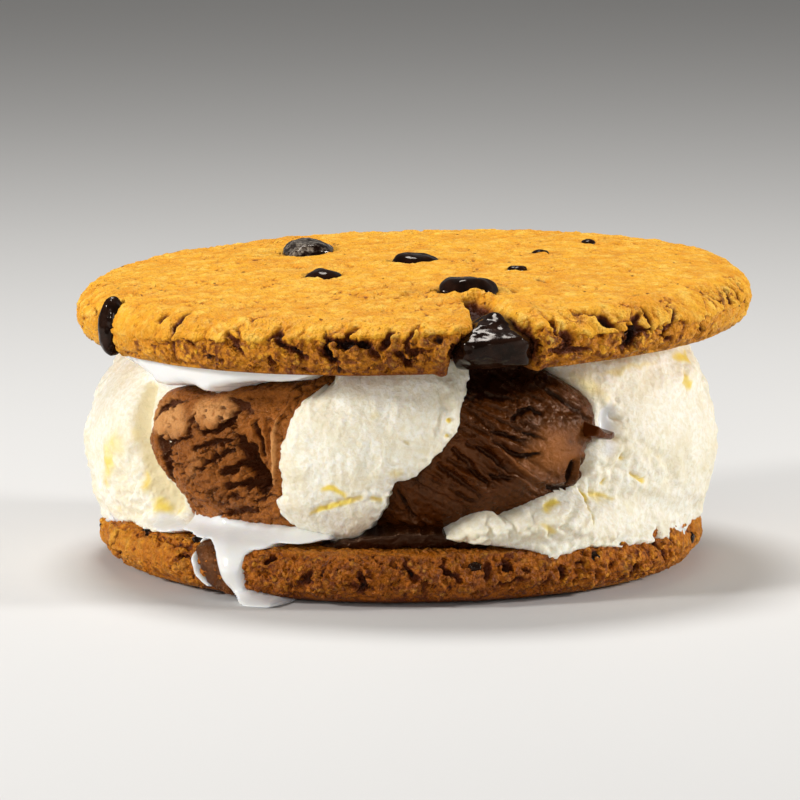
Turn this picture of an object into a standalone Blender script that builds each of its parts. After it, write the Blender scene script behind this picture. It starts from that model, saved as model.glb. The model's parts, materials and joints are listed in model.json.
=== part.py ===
"""Ice cream sandwich: two chocolate chip cookies around five scoops of vanilla and chocolate.

Metres, +Z up. The origin lies on the surface that the sandwich stands on, under its middle.
The front is the side at -Y, where the middle vanilla scoop bulges out between two of chocolate.
An azimuth turns about +Z: 0 is the front, 90 degrees is the right side at +X, 180 is the back.
"""

import math
from typing import NamedTuple

import bmesh
import bpy
from mathutils import Matrix, Vector, noise

GAP = 0.0003  # clearance between pieces that touch

# The top cookie lies domed side up, and leans a little.
TOP_RADIUS = 0.0546
TOP_EDGE = 0.0082  # thickness at the rim
TOP_DOME = 0.0021  # how much higher the middle stands than the rim
TOP_MIDDLE = Vector((0.0, 0.0, 0.0420))  # centre of its rim
TOP_ROLL = math.radians(1.6)  # the right side is the higher one
TOP_PITCH = math.radians(0.6)  # the back is higher than the front

# The bottom cookie lies domed side down, and stands on the flat middle of its dome.
BASE_RADIUS = 0.0490
BASE_EDGE = 0.0083
BASE_MIDDLE = Vector((-0.0021, 0.0, 0.0))
FOOT_RADIUS = 0.0420  # the flat spot that it rests on

SHOULDER_REACH = 0.0050  # how far in from the rim the top cookie's upper rounding starts
HEEL_REACH = 0.0029
BASE_SHOULDER_REACH = 0.0032
BASE_WAIST = 0.55  # height of the bottom cookie's widest ring, as a share of its edge

# A rim's unevenness: slow waves round the cookie, and quick ones as large as a crumb.
RIM_DEPTH = 0.0006
RIM_SLOW_SIZE = 0.030
RIM_QUICK_SIZE = 0.006
DIMPLE_SIZE = 0.012  # of the top cookie's upper face
DIMPLE_DEPTH = 0.0003

# A bulge of ice cream swells in and out by these shares of its size.
SWELLS = ((0.05, 0.9), (0.02, 0.35))
CHUNK_SWELL = (0.10, 0.8)

COOKIE_STEPS = 60  # facets round a cookie
FRONT_GRID = (24, 13)  # facets round and up a scoop that shows at the front
BACK_GRID = (18, 10)
SPACE_REACH = 0.08  # half the width of the space between the cookies

SCOOP_SOLVER = "MANIFOLD"  # the exact solver loses the cut between two of the scoops

COOKIE_BROWN = (0.56, 0.25, 0.04)
BASE_BROWN = (0.42, 0.16, 0.03)
VANILLA = (0.90, 0.84, 0.64)
CHOCOLATE_ICE = (0.20, 0.075, 0.025)
DARK_CHOCOLATE = (0.022, 0.010, 0.006)


class Lobe(NamedTuple):
    """One bulge of a scoop: an egg shape that points out from the middle of the sandwich."""

    azimuth: float  # degrees
    reach: float  # distance of its centre from the sandwich's middle
    height: float  # of its centre
    half: tuple  # half sizes: across, outwards and up
    lean: float  # degrees that its top turns towards the right, seen from outside
    seed: float
    grid: tuple = FRONT_GRID


class Chunk(NamedTuple):
    """One piece of dark chocolate, blocky or rounded, sunk in the top cookie."""

    place: Vector  # in the top cookie's own frame, whose origin is TOP_MIDDLE
    half: tuple  # half sizes: across, outwards and up
    azimuth: float
    blockiness: float  # 2 is an egg shape, and higher is closer to a block
    taper: float  # how much narrower its lower end is
    seed: float
    detail: int = 2


SCOOPS = {
    "vanilla_middle": (
        Lobe(-10, 0.0205, 0.0258, (0.0152, 0.0250, 0.0192), 40, 1.0),
        Lobe(176, 0.0200, 0.0230, (0.0165, 0.0245, 0.0185), -14, 2.0, BACK_GRID),
    ),
    "chocolate_left": (
        Lobe(-48, 0.0200, 0.0226, (0.0225, 0.0245, 0.0160), 8, 3.0),
        Lobe(222, 0.0205, 0.0220, (0.0170, 0.0240, 0.0180), 10, 4.0, BACK_GRID),
    ),
    "chocolate_right": (
        Lobe(27, 0.0200, 0.0242, (0.0185, 0.0245, 0.0195), 36, 5.0),
        Lobe(139, 0.0210, 0.0225, (0.0165, 0.0240, 0.0185), -8, 6.0, BACK_GRID),
    ),
    "vanilla_left": (
        Lobe(-101, 0.0270, 0.0195, (0.0260, 0.0240, 0.0215), 0, 7.0),
    ),
    "vanilla_right": (
        Lobe(92, 0.0270, 0.0200, (0.0280, 0.0240, 0.0215), 0, 8.0),
        Lobe(40, 0.0335, 0.0105, (0.0225, 0.0130, 0.0060), 0, 9.0, BACK_GRID),
    ),
}

# Each scoop gives way to the ones pressed into it.
CUT_BY = {
    "vanilla_middle": (),
    "chocolate_left": ("vanilla_middle",),
    "chocolate_right": ("vanilla_middle", "chocolate_left"),
    "vanilla_left": ("chocolate_left",),
    "vanilla_right": ("chocolate_right", "vanilla_middle"),
}

CHUNKS = {
    "chunk_front": Chunk(
        Vector((0.0121, -0.0484, 0.0003)), (0.0066, 0.0052, 0.0043), 14, 3.2, 0.1, 1.0, 3
    ),
    "chunk_middle": Chunk(
        Vector((0.0089, -0.0300, 0.0051)), (0.0047, 0.0050, 0.0028), 12, 2.8, 0.0, 2.0
    ),
    "chunk_left": Chunk(
        Vector((-0.0478, -0.0224, 0.0003)), (0.0024, 0.0021, 0.0048), -65, 2.6, 0.45, 3.0
    ),
    "chip_left": Chunk(
        Vector((-0.0143, -0.0105, 0.0051)), (0.0032, 0.0033, 0.0020), 0, 2.4, 0.0, 4.0
    ),
    "chip_centre": Chunk(
        Vector((0.0002, 0.0010, 0.0052)), (0.0041, 0.0036, 0.0024), 8, 2.4, 0.0, 5.0
    ),
    "chunk_back": Chunk(
        Vector((-0.0172, 0.0185, 0.0049)), (0.0042, 0.0060, 0.0028), -6, 2.9, 0.0, 6.0
    ),
}

# Hollows broken into the top cookie's side: azimuth, height in its frame, half sizes.
HOLLOWS = (
    (-31, 0.0002, (0.0013, 0.0012, 0.0026)),
    (-20, -0.0001, (0.0021, 0.0013, 0.0029)),
    (-11, -0.0029, (0.0032, 0.0018, 0.0022)),
    (34, 0.0007, (0.0015, 0.0016, 0.0026)),
    (43, 0.0009, (0.0008, 0.0014, 0.0026)),
)


def clear_scene() -> None:
    """Remove whatever the scene holds."""
    for thing in list(bpy.data.objects):
        bpy.data.objects.remove(thing, do_unlink=True)


def new_collection(name: str) -> bpy.types.Collection:
    """Make a collection in the scene."""
    made = bpy.data.collections.new(name)
    bpy.context.scene.collection.children.link(made)
    return made


def new_material(name: str, colour: tuple, roughness: float) -> bpy.types.Material:
    """Make an opaque finish of one colour."""
    made = bpy.data.materials.new(name)
    made.use_nodes = True
    shader = made.node_tree.nodes["Principled BSDF"]
    shader.inputs["Base Color"].default_value = (*colour, 1.0)
    shader.inputs["Roughness"].default_value = roughness
    shader.inputs["Metallic"].default_value = 0.0
    return made


def new_object(name: str, shape: bmesh.types.BMesh, group: bpy.types.Collection):
    """Turn a finished bmesh into an object of triangles that point out, and free it."""
    bmesh.ops.triangulate(shape, faces=shape.faces)
    if shape.calc_volume(signed=True) < 0:
        bmesh.ops.reverse_faces(shape, faces=shape.faces)
    mesh = bpy.data.meshes.new(name)
    shape.to_mesh(mesh)
    shape.free()
    made = bpy.data.objects.new(name, mesh)
    group.objects.link(made)
    return made


def as_cutter(tool: bpy.types.Object) -> bpy.types.Object:
    """Mark an object as a tool that is not part of the sandwich."""
    tool.hide_render = True
    tool.display_type = "WIRE"
    return tool


def boolean(target, tool: bpy.types.Object, operation: str, solver: str = "EXACT") -> None:
    """Cut, join or trim the target with the tool."""
    step = target.modifiers.new(f"{operation.lower()} {tool.name}"[:60], "BOOLEAN")
    step.operation = operation
    step.object = tool
    step.solver = solver


def outward(azimuth: float) -> Vector:
    """Give the level direction that points out at an azimuth in degrees."""
    turn = math.radians(azimuth)
    return Vector((math.sin(turn), -math.cos(turn), 0.0))


def facing(azimuth: float) -> Matrix:
    """Give the turn that takes +X across, -Y outwards and +Z up to an azimuth."""
    return Matrix.Rotation(math.radians(azimuth), 3, "Z")


def top_lean() -> Matrix:
    """Give the top cookie's lean."""
    roll = Matrix.Rotation(-TOP_ROLL, 3, "Y")
    pitch = Matrix.Rotation(TOP_PITCH, 3, "X")
    return pitch @ roll


def underside_height(x: float, y: float) -> float:
    """Give the height of the top cookie's flat lower face over a point."""
    normal = top_lean() @ Vector((0.0, 0.0, 1.0))
    start = TOP_MIDDLE - normal * (TOP_EDGE / 2)
    return start.z - (normal.x * (x - start.x) + normal.y * (y - start.y)) / normal.z


def rounded(rim: float, edge_x: float, edge_z: float, steps: int, first: float, last: float):
    """List the points of a quarter of an oval rim, between two angles in degrees."""
    points = []
    for step in range(steps + 1):
        angle = math.radians(first + (last - first) * step / steps)
        across = rim - edge_x + edge_x * math.cos(angle)
        points.append((across, edge_z * math.sin(angle)))
    return points


def top_profile() -> list:
    """Give the top cookie's half section, from the top of its dome down to its flat face."""
    half = TOP_EDGE / 2
    shoulder = rounded(TOP_RADIUS, SHOULDER_REACH, half, 4, 90, 0)
    heel = rounded(TOP_RADIUS, HEEL_REACH, half, 3, 0, -90)
    spread = [(TOP_RADIUS * share, half) for share in (0.0, 0.22, 0.44, 0.64, 0.8)]
    upper = [(r, z + TOP_DOME * (1 - (r / TOP_RADIUS) ** 2)) for r, z in spread + shoulder]
    return upper + heel[1:] + [(0.0, -half)]


def base_profile() -> list:
    """Give the bottom cookie's half section, from its flat upper face down to its foot."""
    waist = BASE_EDGE * BASE_WAIST
    shoulder = rounded(BASE_RADIUS, BASE_SHOULDER_REACH, BASE_EDGE - waist, 3, 90, 0)
    heel = rounded(BASE_RADIUS, BASE_RADIUS - FOOT_RADIUS, waist, 5, 0, -90)
    upper = [(0.0, BASE_EDGE), (BASE_RADIUS * 0.6, BASE_EDGE)]
    upper += [(r, z + waist) for r, z in shoulder]
    return upper + [(r, z + waist) for r, z in heel[1:]] + [(0.0, 0.0)]


def turned(name: str, profile: list) -> bmesh.types.BMesh:
    """Turn a half section about the Z axis into a closed cookie."""
    outline = bmesh.new()
    corners = [outline.verts.new((r, 0.0, z)) for r, z in profile]
    for first, second in zip(corners, corners[1:]):
        outline.edges.new((first, second))
    guide = new_object(f"{name}_section", outline, bpy.context.scene.collection)
    screw = guide.modifiers.new("turn", "SCREW")
    screw.axis = "Z"
    screw.steps = COOKIE_STEPS
    screw.render_steps = COOKIE_STEPS
    screw.use_merge_vertices = True
    screw.merge_threshold = 0.0001
    bpy.context.view_layer.update()
    evaluated = guide.evaluated_get(bpy.context.evaluated_depsgraph_get())
    mesh = bpy.data.meshes.new_from_object(evaluated)
    shape = bmesh.new()
    shape.from_mesh(mesh)
    bpy.data.objects.remove(guide, do_unlink=True)
    return shape


def wander(point: Vector, size: float, seed: float) -> float:
    """Give smooth unevenness between about -1 and 1, with features of the given size."""
    return noise.noise(point / size + Vector((seed * 17.3, seed * 5.1, seed * 9.7)))


def uneven_rim(shape: bmesh.types.BMesh, radius: float, seed: float) -> None:
    """Push a cookie's rim in and out, more on its side than on its faces."""
    for corner in shape.verts:
        level = Vector((corner.co.x, corner.co.y, 0.0))
        if level.length < radius * 0.5:
            continue
        share = min(1.0, (level.length / radius - 0.5) * 2)
        slow = wander(level, RIM_SLOW_SIZE, seed)
        quick = wander(corner.co, RIM_QUICK_SIZE, seed + 1)
        push = RIM_DEPTH * (0.6 * slow + 0.8 * quick) * share**2
        corner.co += level.normalized() * push


def make_top_cookie(group: bpy.types.Collection) -> bpy.types.Object:
    """Make the domed upper cookie with its dimpled face."""
    shape = turned("top_cookie", top_profile())
    uneven_rim(shape, TOP_RADIUS, 3.0)
    for corner in shape.verts:
        if corner.co.z > TOP_EDGE * 0.4:
            corner.co.z += DIMPLE_DEPTH * wander(corner.co, DIMPLE_SIZE, 5.0)
        corner.co = TOP_MIDDLE + top_lean() @ corner.co
    return new_object("top_cookie", shape, group)


def make_bottom_cookie(group: bpy.types.Collection) -> bpy.types.Object:
    """Make the lower cookie, whose foot stays flat."""
    shape = turned("bottom_cookie", base_profile())
    uneven_rim(shape, BASE_RADIUS, 8.0)
    for corner in shape.verts:
        corner.co += BASE_MIDDLE
    return new_object("bottom_cookie", shape, group)


def lobe_shape(lobe: Lobe, grow: float = 0.0) -> bmesh.types.BMesh:
    """Make one bulge of ice cream, larger all round by grow."""
    shape = bmesh.new()
    around, up = lobe.grid
    bmesh.ops.create_uvsphere(shape, u_segments=around, v_segments=up, radius=1.0)
    lean = Matrix.Rotation(math.radians(lobe.lean), 3, "Y")
    centre = BASE_MIDDLE + outward(lobe.azimuth) * lobe.reach
    centre.z = lobe.height
    for corner in shape.verts:
        way = corner.co.normalized()
        swell = 1.0 + sum(share * wander(way, size, lobe.seed) for share, size in SWELLS)
        full = [way[axis] * (lobe.half[axis] * swell + grow) for axis in range(3)]
        corner.co = centre + facing(lobe.azimuth) @ (lean @ Vector(full))
    return shape


def make_filling_space(group: bpy.types.Collection) -> bpy.types.Object:
    """Make the slab of space between the cookies, which trims the scoops flat."""
    shape = bmesh.new()
    bmesh.ops.create_cube(shape, size=2.0)
    for corner in shape.verts:
        above = corner.co.z > 0
        corner.co.x *= SPACE_REACH
        corner.co.y *= SPACE_REACH
        roof = underside_height(corner.co.x, corner.co.y) - GAP
        corner.co.z = roof if above else BASE_EDGE + GAP
    return as_cutter(new_object("filling_space", shape, group))


def join_lobes(name: str, lobes: tuple, grow: float, group, cutters) -> bpy.types.Object:
    """Make an object of lobes that run into each other, larger all round by grow."""
    body = new_object(name, lobe_shape(lobes[0], grow), group)
    for number, lobe in enumerate(lobes[1:], 2):
        extra = new_object(f"{name}_lobe_{number}", lobe_shape(lobe, grow), cutters)
        boolean(body, as_cutter(extra), "UNION", SCOOP_SOLVER)
    return body


def make_scoops(group: bpy.types.Collection, cutters: bpy.types.Collection) -> dict:
    """Make the scoops, each trimmed by the cookies and by the scoops pressed into it."""
    space = make_filling_space(cutters)
    made = {}
    rooms = {}
    for name, lobes in SCOOPS.items():
        made[name] = join_lobes(name, lobes, 0.0, group, cutters)
        rooms[name] = as_cutter(join_lobes(f"{name}_room", lobes, GAP, cutters, cutters))
    for name, scoop in made.items():
        for other in CUT_BY[name]:
            boolean(scoop, rooms[other], "DIFFERENCE", SCOOP_SOLVER)
        boolean(scoop, space, "INTERSECT", SCOOP_SOLVER)
    return made


def chunk_shape(chunk: Chunk, grow: float = 0.0) -> bmesh.types.BMesh:
    """Make a piece of dark chocolate, larger all round by grow."""
    shape = bmesh.new()
    bmesh.ops.create_icosphere(shape, subdivisions=chunk.detail, radius=1.0)
    power = chunk.blockiness
    share, size = CHUNK_SWELL
    for corner in shape.verts:
        way = corner.co.normalized()
        reach = sum(abs(part) ** power for part in way) ** (-1 / power)
        swell = reach * (1.0 + share * wander(way, size, chunk.seed))
        narrow = 1.0 - chunk.taper * max(0.0, -way.z)
        full = [way[axis] * (chunk.half[axis] * swell + grow) for axis in range(3)]
        full[0] *= narrow
        level = chunk.place + facing(chunk.azimuth) @ Vector(full)
        corner.co = TOP_MIDDLE + top_lean() @ level
    return shape


def make_chunks(
    cookie: bpy.types.Object, group: bpy.types.Collection, cutters: bpy.types.Collection
) -> dict:
    """Make the chocolate in the top cookie, and the pocket that each piece sits in."""
    made = {}
    for name, chunk in CHUNKS.items():
        made[name] = new_object(name, chunk_shape(chunk), group)
        pocket = as_cutter(new_object(f"{name}_pocket", chunk_shape(chunk, GAP), cutters))
        boolean(cookie, pocket, "DIFFERENCE")
    return made


def break_hollows(cookie: bpy.types.Object, cutters: bpy.types.Collection) -> None:
    """Break the larger hollows out of the top cookie's crumbly side."""
    for number, (azimuth, height, half) in enumerate(HOLLOWS, 1):
        place = outward(azimuth) * TOP_RADIUS
        place.z = height
        hollow = Chunk(place, half, azimuth, 2.5, 0.0, 20.0 + number, 1)
        tool = new_object(f"hollow_{number}", chunk_shape(hollow), cutters)
        boolean(cookie, as_cutter(tool), "DIFFERENCE")


def finish(pieces: list, finish_material: bpy.types.Material) -> None:
    """Give pieces their material and shade them smooth up to their creases."""
    for piece in pieces:
        piece.data.materials.append(finish_material)
        piece.data.shade_smooth()
        piece.data.set_sharp_from_angle(angle=math.radians(40))


def build() -> None:
    """Build the whole sandwich."""
    clear_scene()
    sandwich = new_collection("ice_cream_sandwich")
    cutters = new_collection("cutters")
    top = make_top_cookie(sandwich)
    base = make_bottom_cookie(sandwich)
    chunks = make_chunks(top, sandwich, cutters)
    break_hollows(top, cutters)
    scoops = make_scoops(sandwich, cutters)
    vanilla = [scoop for name, scoop in scoops.items() if name.startswith("vanilla")]
    chocolate = [scoop for name, scoop in scoops.items() if name.startswith("chocolate")]
    finish([top], new_material("golden_cookie", COOKIE_BROWN, 0.75))
    finish([base], new_material("browned_cookie", BASE_BROWN, 0.75))
    finish(vanilla, new_material("vanilla_ice_cream", VANILLA, 0.45))
    finish(chocolate, new_material("chocolate_ice_cream", CHOCOLATE_ICE, 0.40))
    finish(list(chunks.values()), new_material("dark_chocolate", DARK_CHOCOLATE, 0.30))


build()
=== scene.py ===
"""Ice cream sandwich: the finished look of two chocolate chip cookies round five scoops.

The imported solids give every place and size. The classes below hold their sizes in millimetres,
and a mesh becomes metres as it is made. +Z is up, and an azimuth turns about it: 0 is the
front at -Y, 90 degrees is the right side at +X and 180 is the back.
"""

import json
import logging
import math
from dataclasses import dataclass, field, fields
from enum import Enum
from functools import reduce

import bpy
import numpy as np
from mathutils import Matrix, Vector
from mathutils.bvhtree import BVHTree

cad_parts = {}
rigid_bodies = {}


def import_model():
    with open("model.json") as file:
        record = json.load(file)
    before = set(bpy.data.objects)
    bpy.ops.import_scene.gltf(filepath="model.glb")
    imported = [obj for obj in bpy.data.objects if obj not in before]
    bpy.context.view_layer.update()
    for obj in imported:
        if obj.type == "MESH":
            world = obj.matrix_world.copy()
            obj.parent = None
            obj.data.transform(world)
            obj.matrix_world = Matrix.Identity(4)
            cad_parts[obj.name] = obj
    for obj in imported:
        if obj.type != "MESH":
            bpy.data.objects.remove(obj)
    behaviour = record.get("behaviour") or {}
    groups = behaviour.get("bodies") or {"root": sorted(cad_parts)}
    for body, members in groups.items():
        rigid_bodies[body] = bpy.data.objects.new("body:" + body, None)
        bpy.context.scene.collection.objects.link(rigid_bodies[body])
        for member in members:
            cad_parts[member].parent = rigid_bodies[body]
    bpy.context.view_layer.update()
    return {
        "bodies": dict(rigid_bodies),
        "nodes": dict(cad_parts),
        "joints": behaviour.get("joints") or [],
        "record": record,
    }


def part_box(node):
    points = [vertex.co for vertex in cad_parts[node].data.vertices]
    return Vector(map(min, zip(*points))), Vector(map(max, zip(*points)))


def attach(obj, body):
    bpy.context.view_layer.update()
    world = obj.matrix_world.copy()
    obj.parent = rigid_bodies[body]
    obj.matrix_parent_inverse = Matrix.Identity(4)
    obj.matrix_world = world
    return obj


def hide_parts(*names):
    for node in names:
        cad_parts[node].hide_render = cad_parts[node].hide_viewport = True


MM = 0.001
BODY = "root"
AXIS = -2.1  # where the lower cookie's axis stands along X, in millimetres
GIRTH = 44.0  # mean radius of the scoops, in millimetres
LEDGE = 40.0  # radius at which they meet the upper cookie
CEILING = 38.5  # height at which they meet it
TOP_RADIUS = 54.6  # of the upper cookie
ELEVATION = 8.8  # how far the view from the front looks down, in degrees
DISTANCE = 1000.0  # from where it looks, in millimetres
AIM = 22.5  # height that it looks at
LOG = logging.getLogger("sandwich")

Array = np.ndarray
Socket = bpy.types.NodeSocket
Feed = float | tuple | Socket
Line = tuple[tuple[float, float], ...]


class Mark(Enum):
    """The numbers that a mesh carries for its finish and its relief."""

    ROUGH = "rough"  # crumbly, against smooth crust
    HOLLOW = "hollow"  # how deep a point lies in a crack or a pit, which the finishes darken as painted shade
    TOAST = "toast"  # how brown it is: baked browning, and towards the front also painted shade
    CALM = "calm"  # where the fine relief fades
    WET = "wet"  # melted and glossy
    TINT = "tint"  # the yellower or lighter colour of the flavour, and on the right chocolate scoop also painted light
    RELIEF = "relief"  # how high the fine relief lifts the point; the finishes darken its low points as painted shade


class Slot(Enum):
    """The record's finishes."""

    GOLDEN = "golden_cookie"
    BROWNED = "browned_cookie"
    VANILLA = "vanilla_ice_cream"
    CHOCOLATE_ICE = "chocolate_ice_cream"
    DARK = "dark_chocolate"


# ---------------------------------------------------------------- numbers on points


def smooth_step(low: float, high: float, value: Array) -> Array:
    """Rise smoothly from 0 at low to 1 at high."""
    share = np.clip((value - low) / (high - low), 0.0, 1.0)
    return share * share * (3.0 - 2.0 * share)


def outward(azimuth: Array) -> Array:
    """Give the level unit vectors that point out at azimuths in degrees."""
    turn = np.radians(azimuth)
    return np.stack([np.sin(turn), -np.cos(turn), np.zeros_like(turn)], axis=-1)


def gradient_noise(points: Array, size: float, seed: int) -> Array:
    """Give smooth noise between about -1 and 1.

    Args:
        points: Places, one row of three numbers each.
        size: How far apart its hills are.
        seed: Which noise.

    Returns:
        One value for each place.
    """
    random = np.random.default_rng(seed)
    order = random.permutation(256)
    slopes = random.normal(size=(256, 3))
    slopes /= np.linalg.norm(slopes, axis=1)[:, None]
    places = points / size + random.uniform(0.0, 256.0, 3)
    cell = np.floor(places).astype(np.int64)
    inner = places - cell
    fade = inner**3 * (inner * (inner * 6.0 - 15.0) + 10.0)
    total = np.zeros(len(points))
    for corner in np.ndindex(2, 2, 2):
        x, y, z = ((cell + corner) & 255).T
        slope = slopes[order[(order[(order[x] + y) & 255] + z) & 255]]
        weight = np.prod(np.where(corner, fade, 1.0 - fade), axis=1)
        total += weight * np.einsum("ij,ij->i", slope, inner - corner)
    return total * 1.6


def rough_noise(points: Array, size: float, octaves: int, seed: int) -> Array:
    """Sum noises of halving size and strength.

    Args:
        points: Places, one row of three numbers each.
        size: Of the widest hills.
        octaves: How many noises.
        seed: Which noises.

    Returns:
        One value for each place.
    """
    return sum(
        gradient_noise(points, size / 2**octave, seed + octave) / 2**octave
        for octave in range(octaves)
    )


def line_distance(places: Array, line: Array) -> Array:
    """Give the distance of each flat place from a line of straight runs.

    Args:
        places: Flat places, in millimetres.
        line: The ends of its runs.

    Returns:
        The distances.
    """
    best = np.full(len(places), np.inf)
    for start, end in zip(line, line[1:]):
        way = end - start
        share = np.clip((places - start) @ way / max(way @ way, 1e-9), 0.0, 1.0)
        best = np.minimum(best, np.linalg.norm(places - start - share[:, None] * way, axis=1))
    return best


def inside_distance(places: Array, outline: Array) -> Array:
    """Give how far each flat place lies inside a closed outline, or minus how far outside.

    Args:
        places: Flat places, in millimetres.
        outline: Its corners, in order.

    Returns:
        The distances.
    """
    ring = np.vstack([outline, outline[:1]])
    across, up = places.T
    odd = np.zeros(len(places), bool)
    for (ax, ay), (bx, by) in zip(ring, ring[1:]):
        spans = (ay > up) != (by > up)
        odd ^= spans & (across < (bx - ax) * (up - ay) / (by - ay + 1e-12) + ax)
    gap = line_distance(places, ring)
    return np.where(odd, gap, -gap)


def softened(outline: Array, rounds: int = 2) -> Array:
    """Cut the corners of a closed outline, again and again.

    Args:
        outline: Its corners, in order.
        rounds: How often.

    Returns:
        An outline of more corners.
    """
    for _ in range(rounds):
        after = np.roll(outline, -1, axis=0)
        outline = np.stack([0.75 * outline + 0.25 * after, 0.25 * outline + 0.75 * after], 1)
        outline = outline.reshape(-1, 2)
    return outline


def blurred(values: Array, reach: float, axis: int, wraps: bool) -> Array:
    """Blur a grid along one axis with a bell of the given reach in cells.

    Args:
        values: The grid.
        reach: Of the bell.
        axis: Which axis.
        wraps: Whether its ends meet.

    Returns:
        The blurred grid.
    """
    half = int(3 * reach)
    bell = np.exp(-0.5 * (np.arange(-half, half + 1) / reach) ** 2)
    bell /= bell.sum()
    pad = [(0, 0)] * values.ndim
    pad[axis] = (half, half)
    wide = np.pad(values, pad, mode="wrap" if wraps else "edge")
    return np.apply_along_axis(lambda row: np.convolve(row, bell, "valid"), axis, wide)


# ---------------------------------------------------------------- meshes


@dataclass
class Shape:
    """A mesh of triangles in millimetres, with a number on each point for each mark."""

    points: Array
    faces: Array
    marks: dict[Mark, Array] = field(default_factory=dict)

    def normals(self) -> Array:
        """Give the unit normal at each point.

        Returns:
            One row for each point.
        """
        first, second, third = (self.points[self.faces[:, corner]] for corner in range(3))
        across = np.cross(second - first, third - first)
        total = np.zeros_like(self.points)
        for corner in range(3):
            for axis in range(3):
                total[:, axis] += np.bincount(self.faces[:, corner], across[:, axis], len(self.points))
        return total / np.maximum(np.linalg.norm(total, axis=1), 1e-12)[:, None]

    def turn_outwards(self) -> None:
        """Reverse the faces if they point in."""
        first, second, third = (self.points[self.faces[:, corner]] for corner in range(3))
        if np.einsum("ij,ij->", first, np.cross(second, third)) < 0:
            self.faces = self.faces[:, ::-1]

    def joined(self, other: "Shape") -> "Shape":
        """Give one shape of this one and another with the same marks.

        Args:
            other: The other shape.

        Returns:
            Both in one.
        """
        return Shape(
            np.vstack([self.points, other.points]),
            np.vstack([self.faces, other.faces + len(self.points)]),
            {mark: np.concatenate([self.marks[mark], other.marks[mark]]) for mark in self.marks},
        )

    def to_object(self, name: str) -> bpy.types.Object:
        """Make a smooth-shaded object of it, in metres.

        Args:
            name: What it is called.

        Returns:
            The object.
        """
        self.turn_outwards()
        mesh = bpy.data.meshes.new(name)
        mesh.vertices.add(len(self.points))
        mesh.vertices.foreach_set("co", (self.points * MM).astype(np.float32).ravel())
        mesh.loops.add(self.faces.size)
        mesh.loops.foreach_set("vertex_index", self.faces.astype(np.int32).ravel())
        mesh.polygons.add(len(self.faces))
        mesh.polygons.foreach_set("loop_start", np.arange(0, self.faces.size, 3, dtype=np.int32))
        for mark, values in self.marks.items():
            stored = mesh.attributes.new(mark.value, "FLOAT", "POINT")
            stored.data.foreach_set("value", values.astype(np.float32))
        mesh.update(calc_edges=True)
        mesh.validate()
        mesh.shade_smooth()
        return linked(name, mesh)


def linked(name: str, data: bpy.types.ID) -> bpy.types.Object:
    """Put data in the scene as an object.

    Args:
        name: What it is called.
        data: A mesh, a light or a camera.

    Returns:
        The object.
    """
    made = bpy.data.objects.new(name, data)
    bpy.context.scene.collection.objects.link(made)
    return made


def zip_rings(first: Array, second: Array) -> Array:
    """Join two closed rings of point numbers, which may differ in count, with triangles.

    Args:
        first: The outer ring or the upper one.
        second: The other ring.

    Returns:
        Three point numbers for each triangle.
    """
    many, few = len(first), len(second)
    ends = np.concatenate([np.arange(1, many + 1) / many, np.arange(1, few + 1) / few - 1e-9])
    on_second = np.arange(many + few) >= many
    order = np.argsort(ends, kind="stable")
    on_second = on_second[order]
    behind_second = np.cumsum(on_second) - on_second
    behind_first = np.cumsum(~on_second) - ~on_second
    ahead = np.where(on_second, second[(behind_second + 1) % few], first[(behind_first + 1) % many])
    band = np.stack([first[behind_first % many], second[behind_second % few], ahead], 1)
    return band[(band[:, 1] != band[:, 2]) & (band[:, 0] != band[:, 2])]


def turned_shape(profile: Array, steps: Array, crowding: float) -> Shape:
    """Turn a half section about the Z axis.

    Args:
        profile: Radius and height of each ring, from the middle of the top to that of the foot.
        steps: Mean spacing of the points round each ring.
        crowding: How much closer the points stand at the front, and further apart at the back.

    Returns:
        The closed shape.
    """
    points, rings, faces = [], [], []
    total = 0
    for (radius, height), step in zip(profile, steps):
        count = max(8, round(2 * math.pi * radius / step)) if radius > 1e-6 else 1
        turn = np.arange(count) * 360.0 / count
        azimuth = turn - np.degrees(crowding * np.sin(np.radians(turn)))
        level = outward(azimuth) * radius
        level[:, 2] = height
        points.append(level)
        rings.append(np.arange(total, total + count))
        total += count
    for before, after in zip(rings, rings[1:]):
        faces.append(zip_rings(before, after))
    shape = Shape(np.vstack(points), np.vstack(faces))
    shape.turn_outwards()
    return shape


def evened(line: list[tuple[float, float]], step: float) -> Array:
    """Place points evenly along a line of straight runs.

    Args:
        line: The ends of its runs.
        step: How far apart.

    Returns:
        The points.
    """
    line = np.array(line, float)
    lengths = np.linalg.norm(np.diff(line, axis=0), axis=1)
    along = np.concatenate([[0.0], np.cumsum(lengths)])
    count = max(2, round(along[-1] / step))
    ends = np.linspace(0.0, along[-1], count + 1)
    return np.stack([np.interp(ends, along, line[:, axis]) for axis in range(2)], 1)


def arc(middle: tuple, reach: tuple, first: float, last: float, count: int = 24) -> list:
    """List points of an oval arc between two angles in degrees.

    Args:
        middle: Of the oval.
        reach: Its two radii.
        first: Where it starts.
        last: Where it ends.
        count: How many points.

    Returns:
        The points.
    """
    angles = np.radians(np.linspace(first, last, count))
    across = middle[0] + reach[0] * np.cos(angles)
    up = middle[1] + reach[1] * np.sin(angles)
    return list(zip(across, up))


# ---------------------------------------------------------------- node trees


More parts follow.
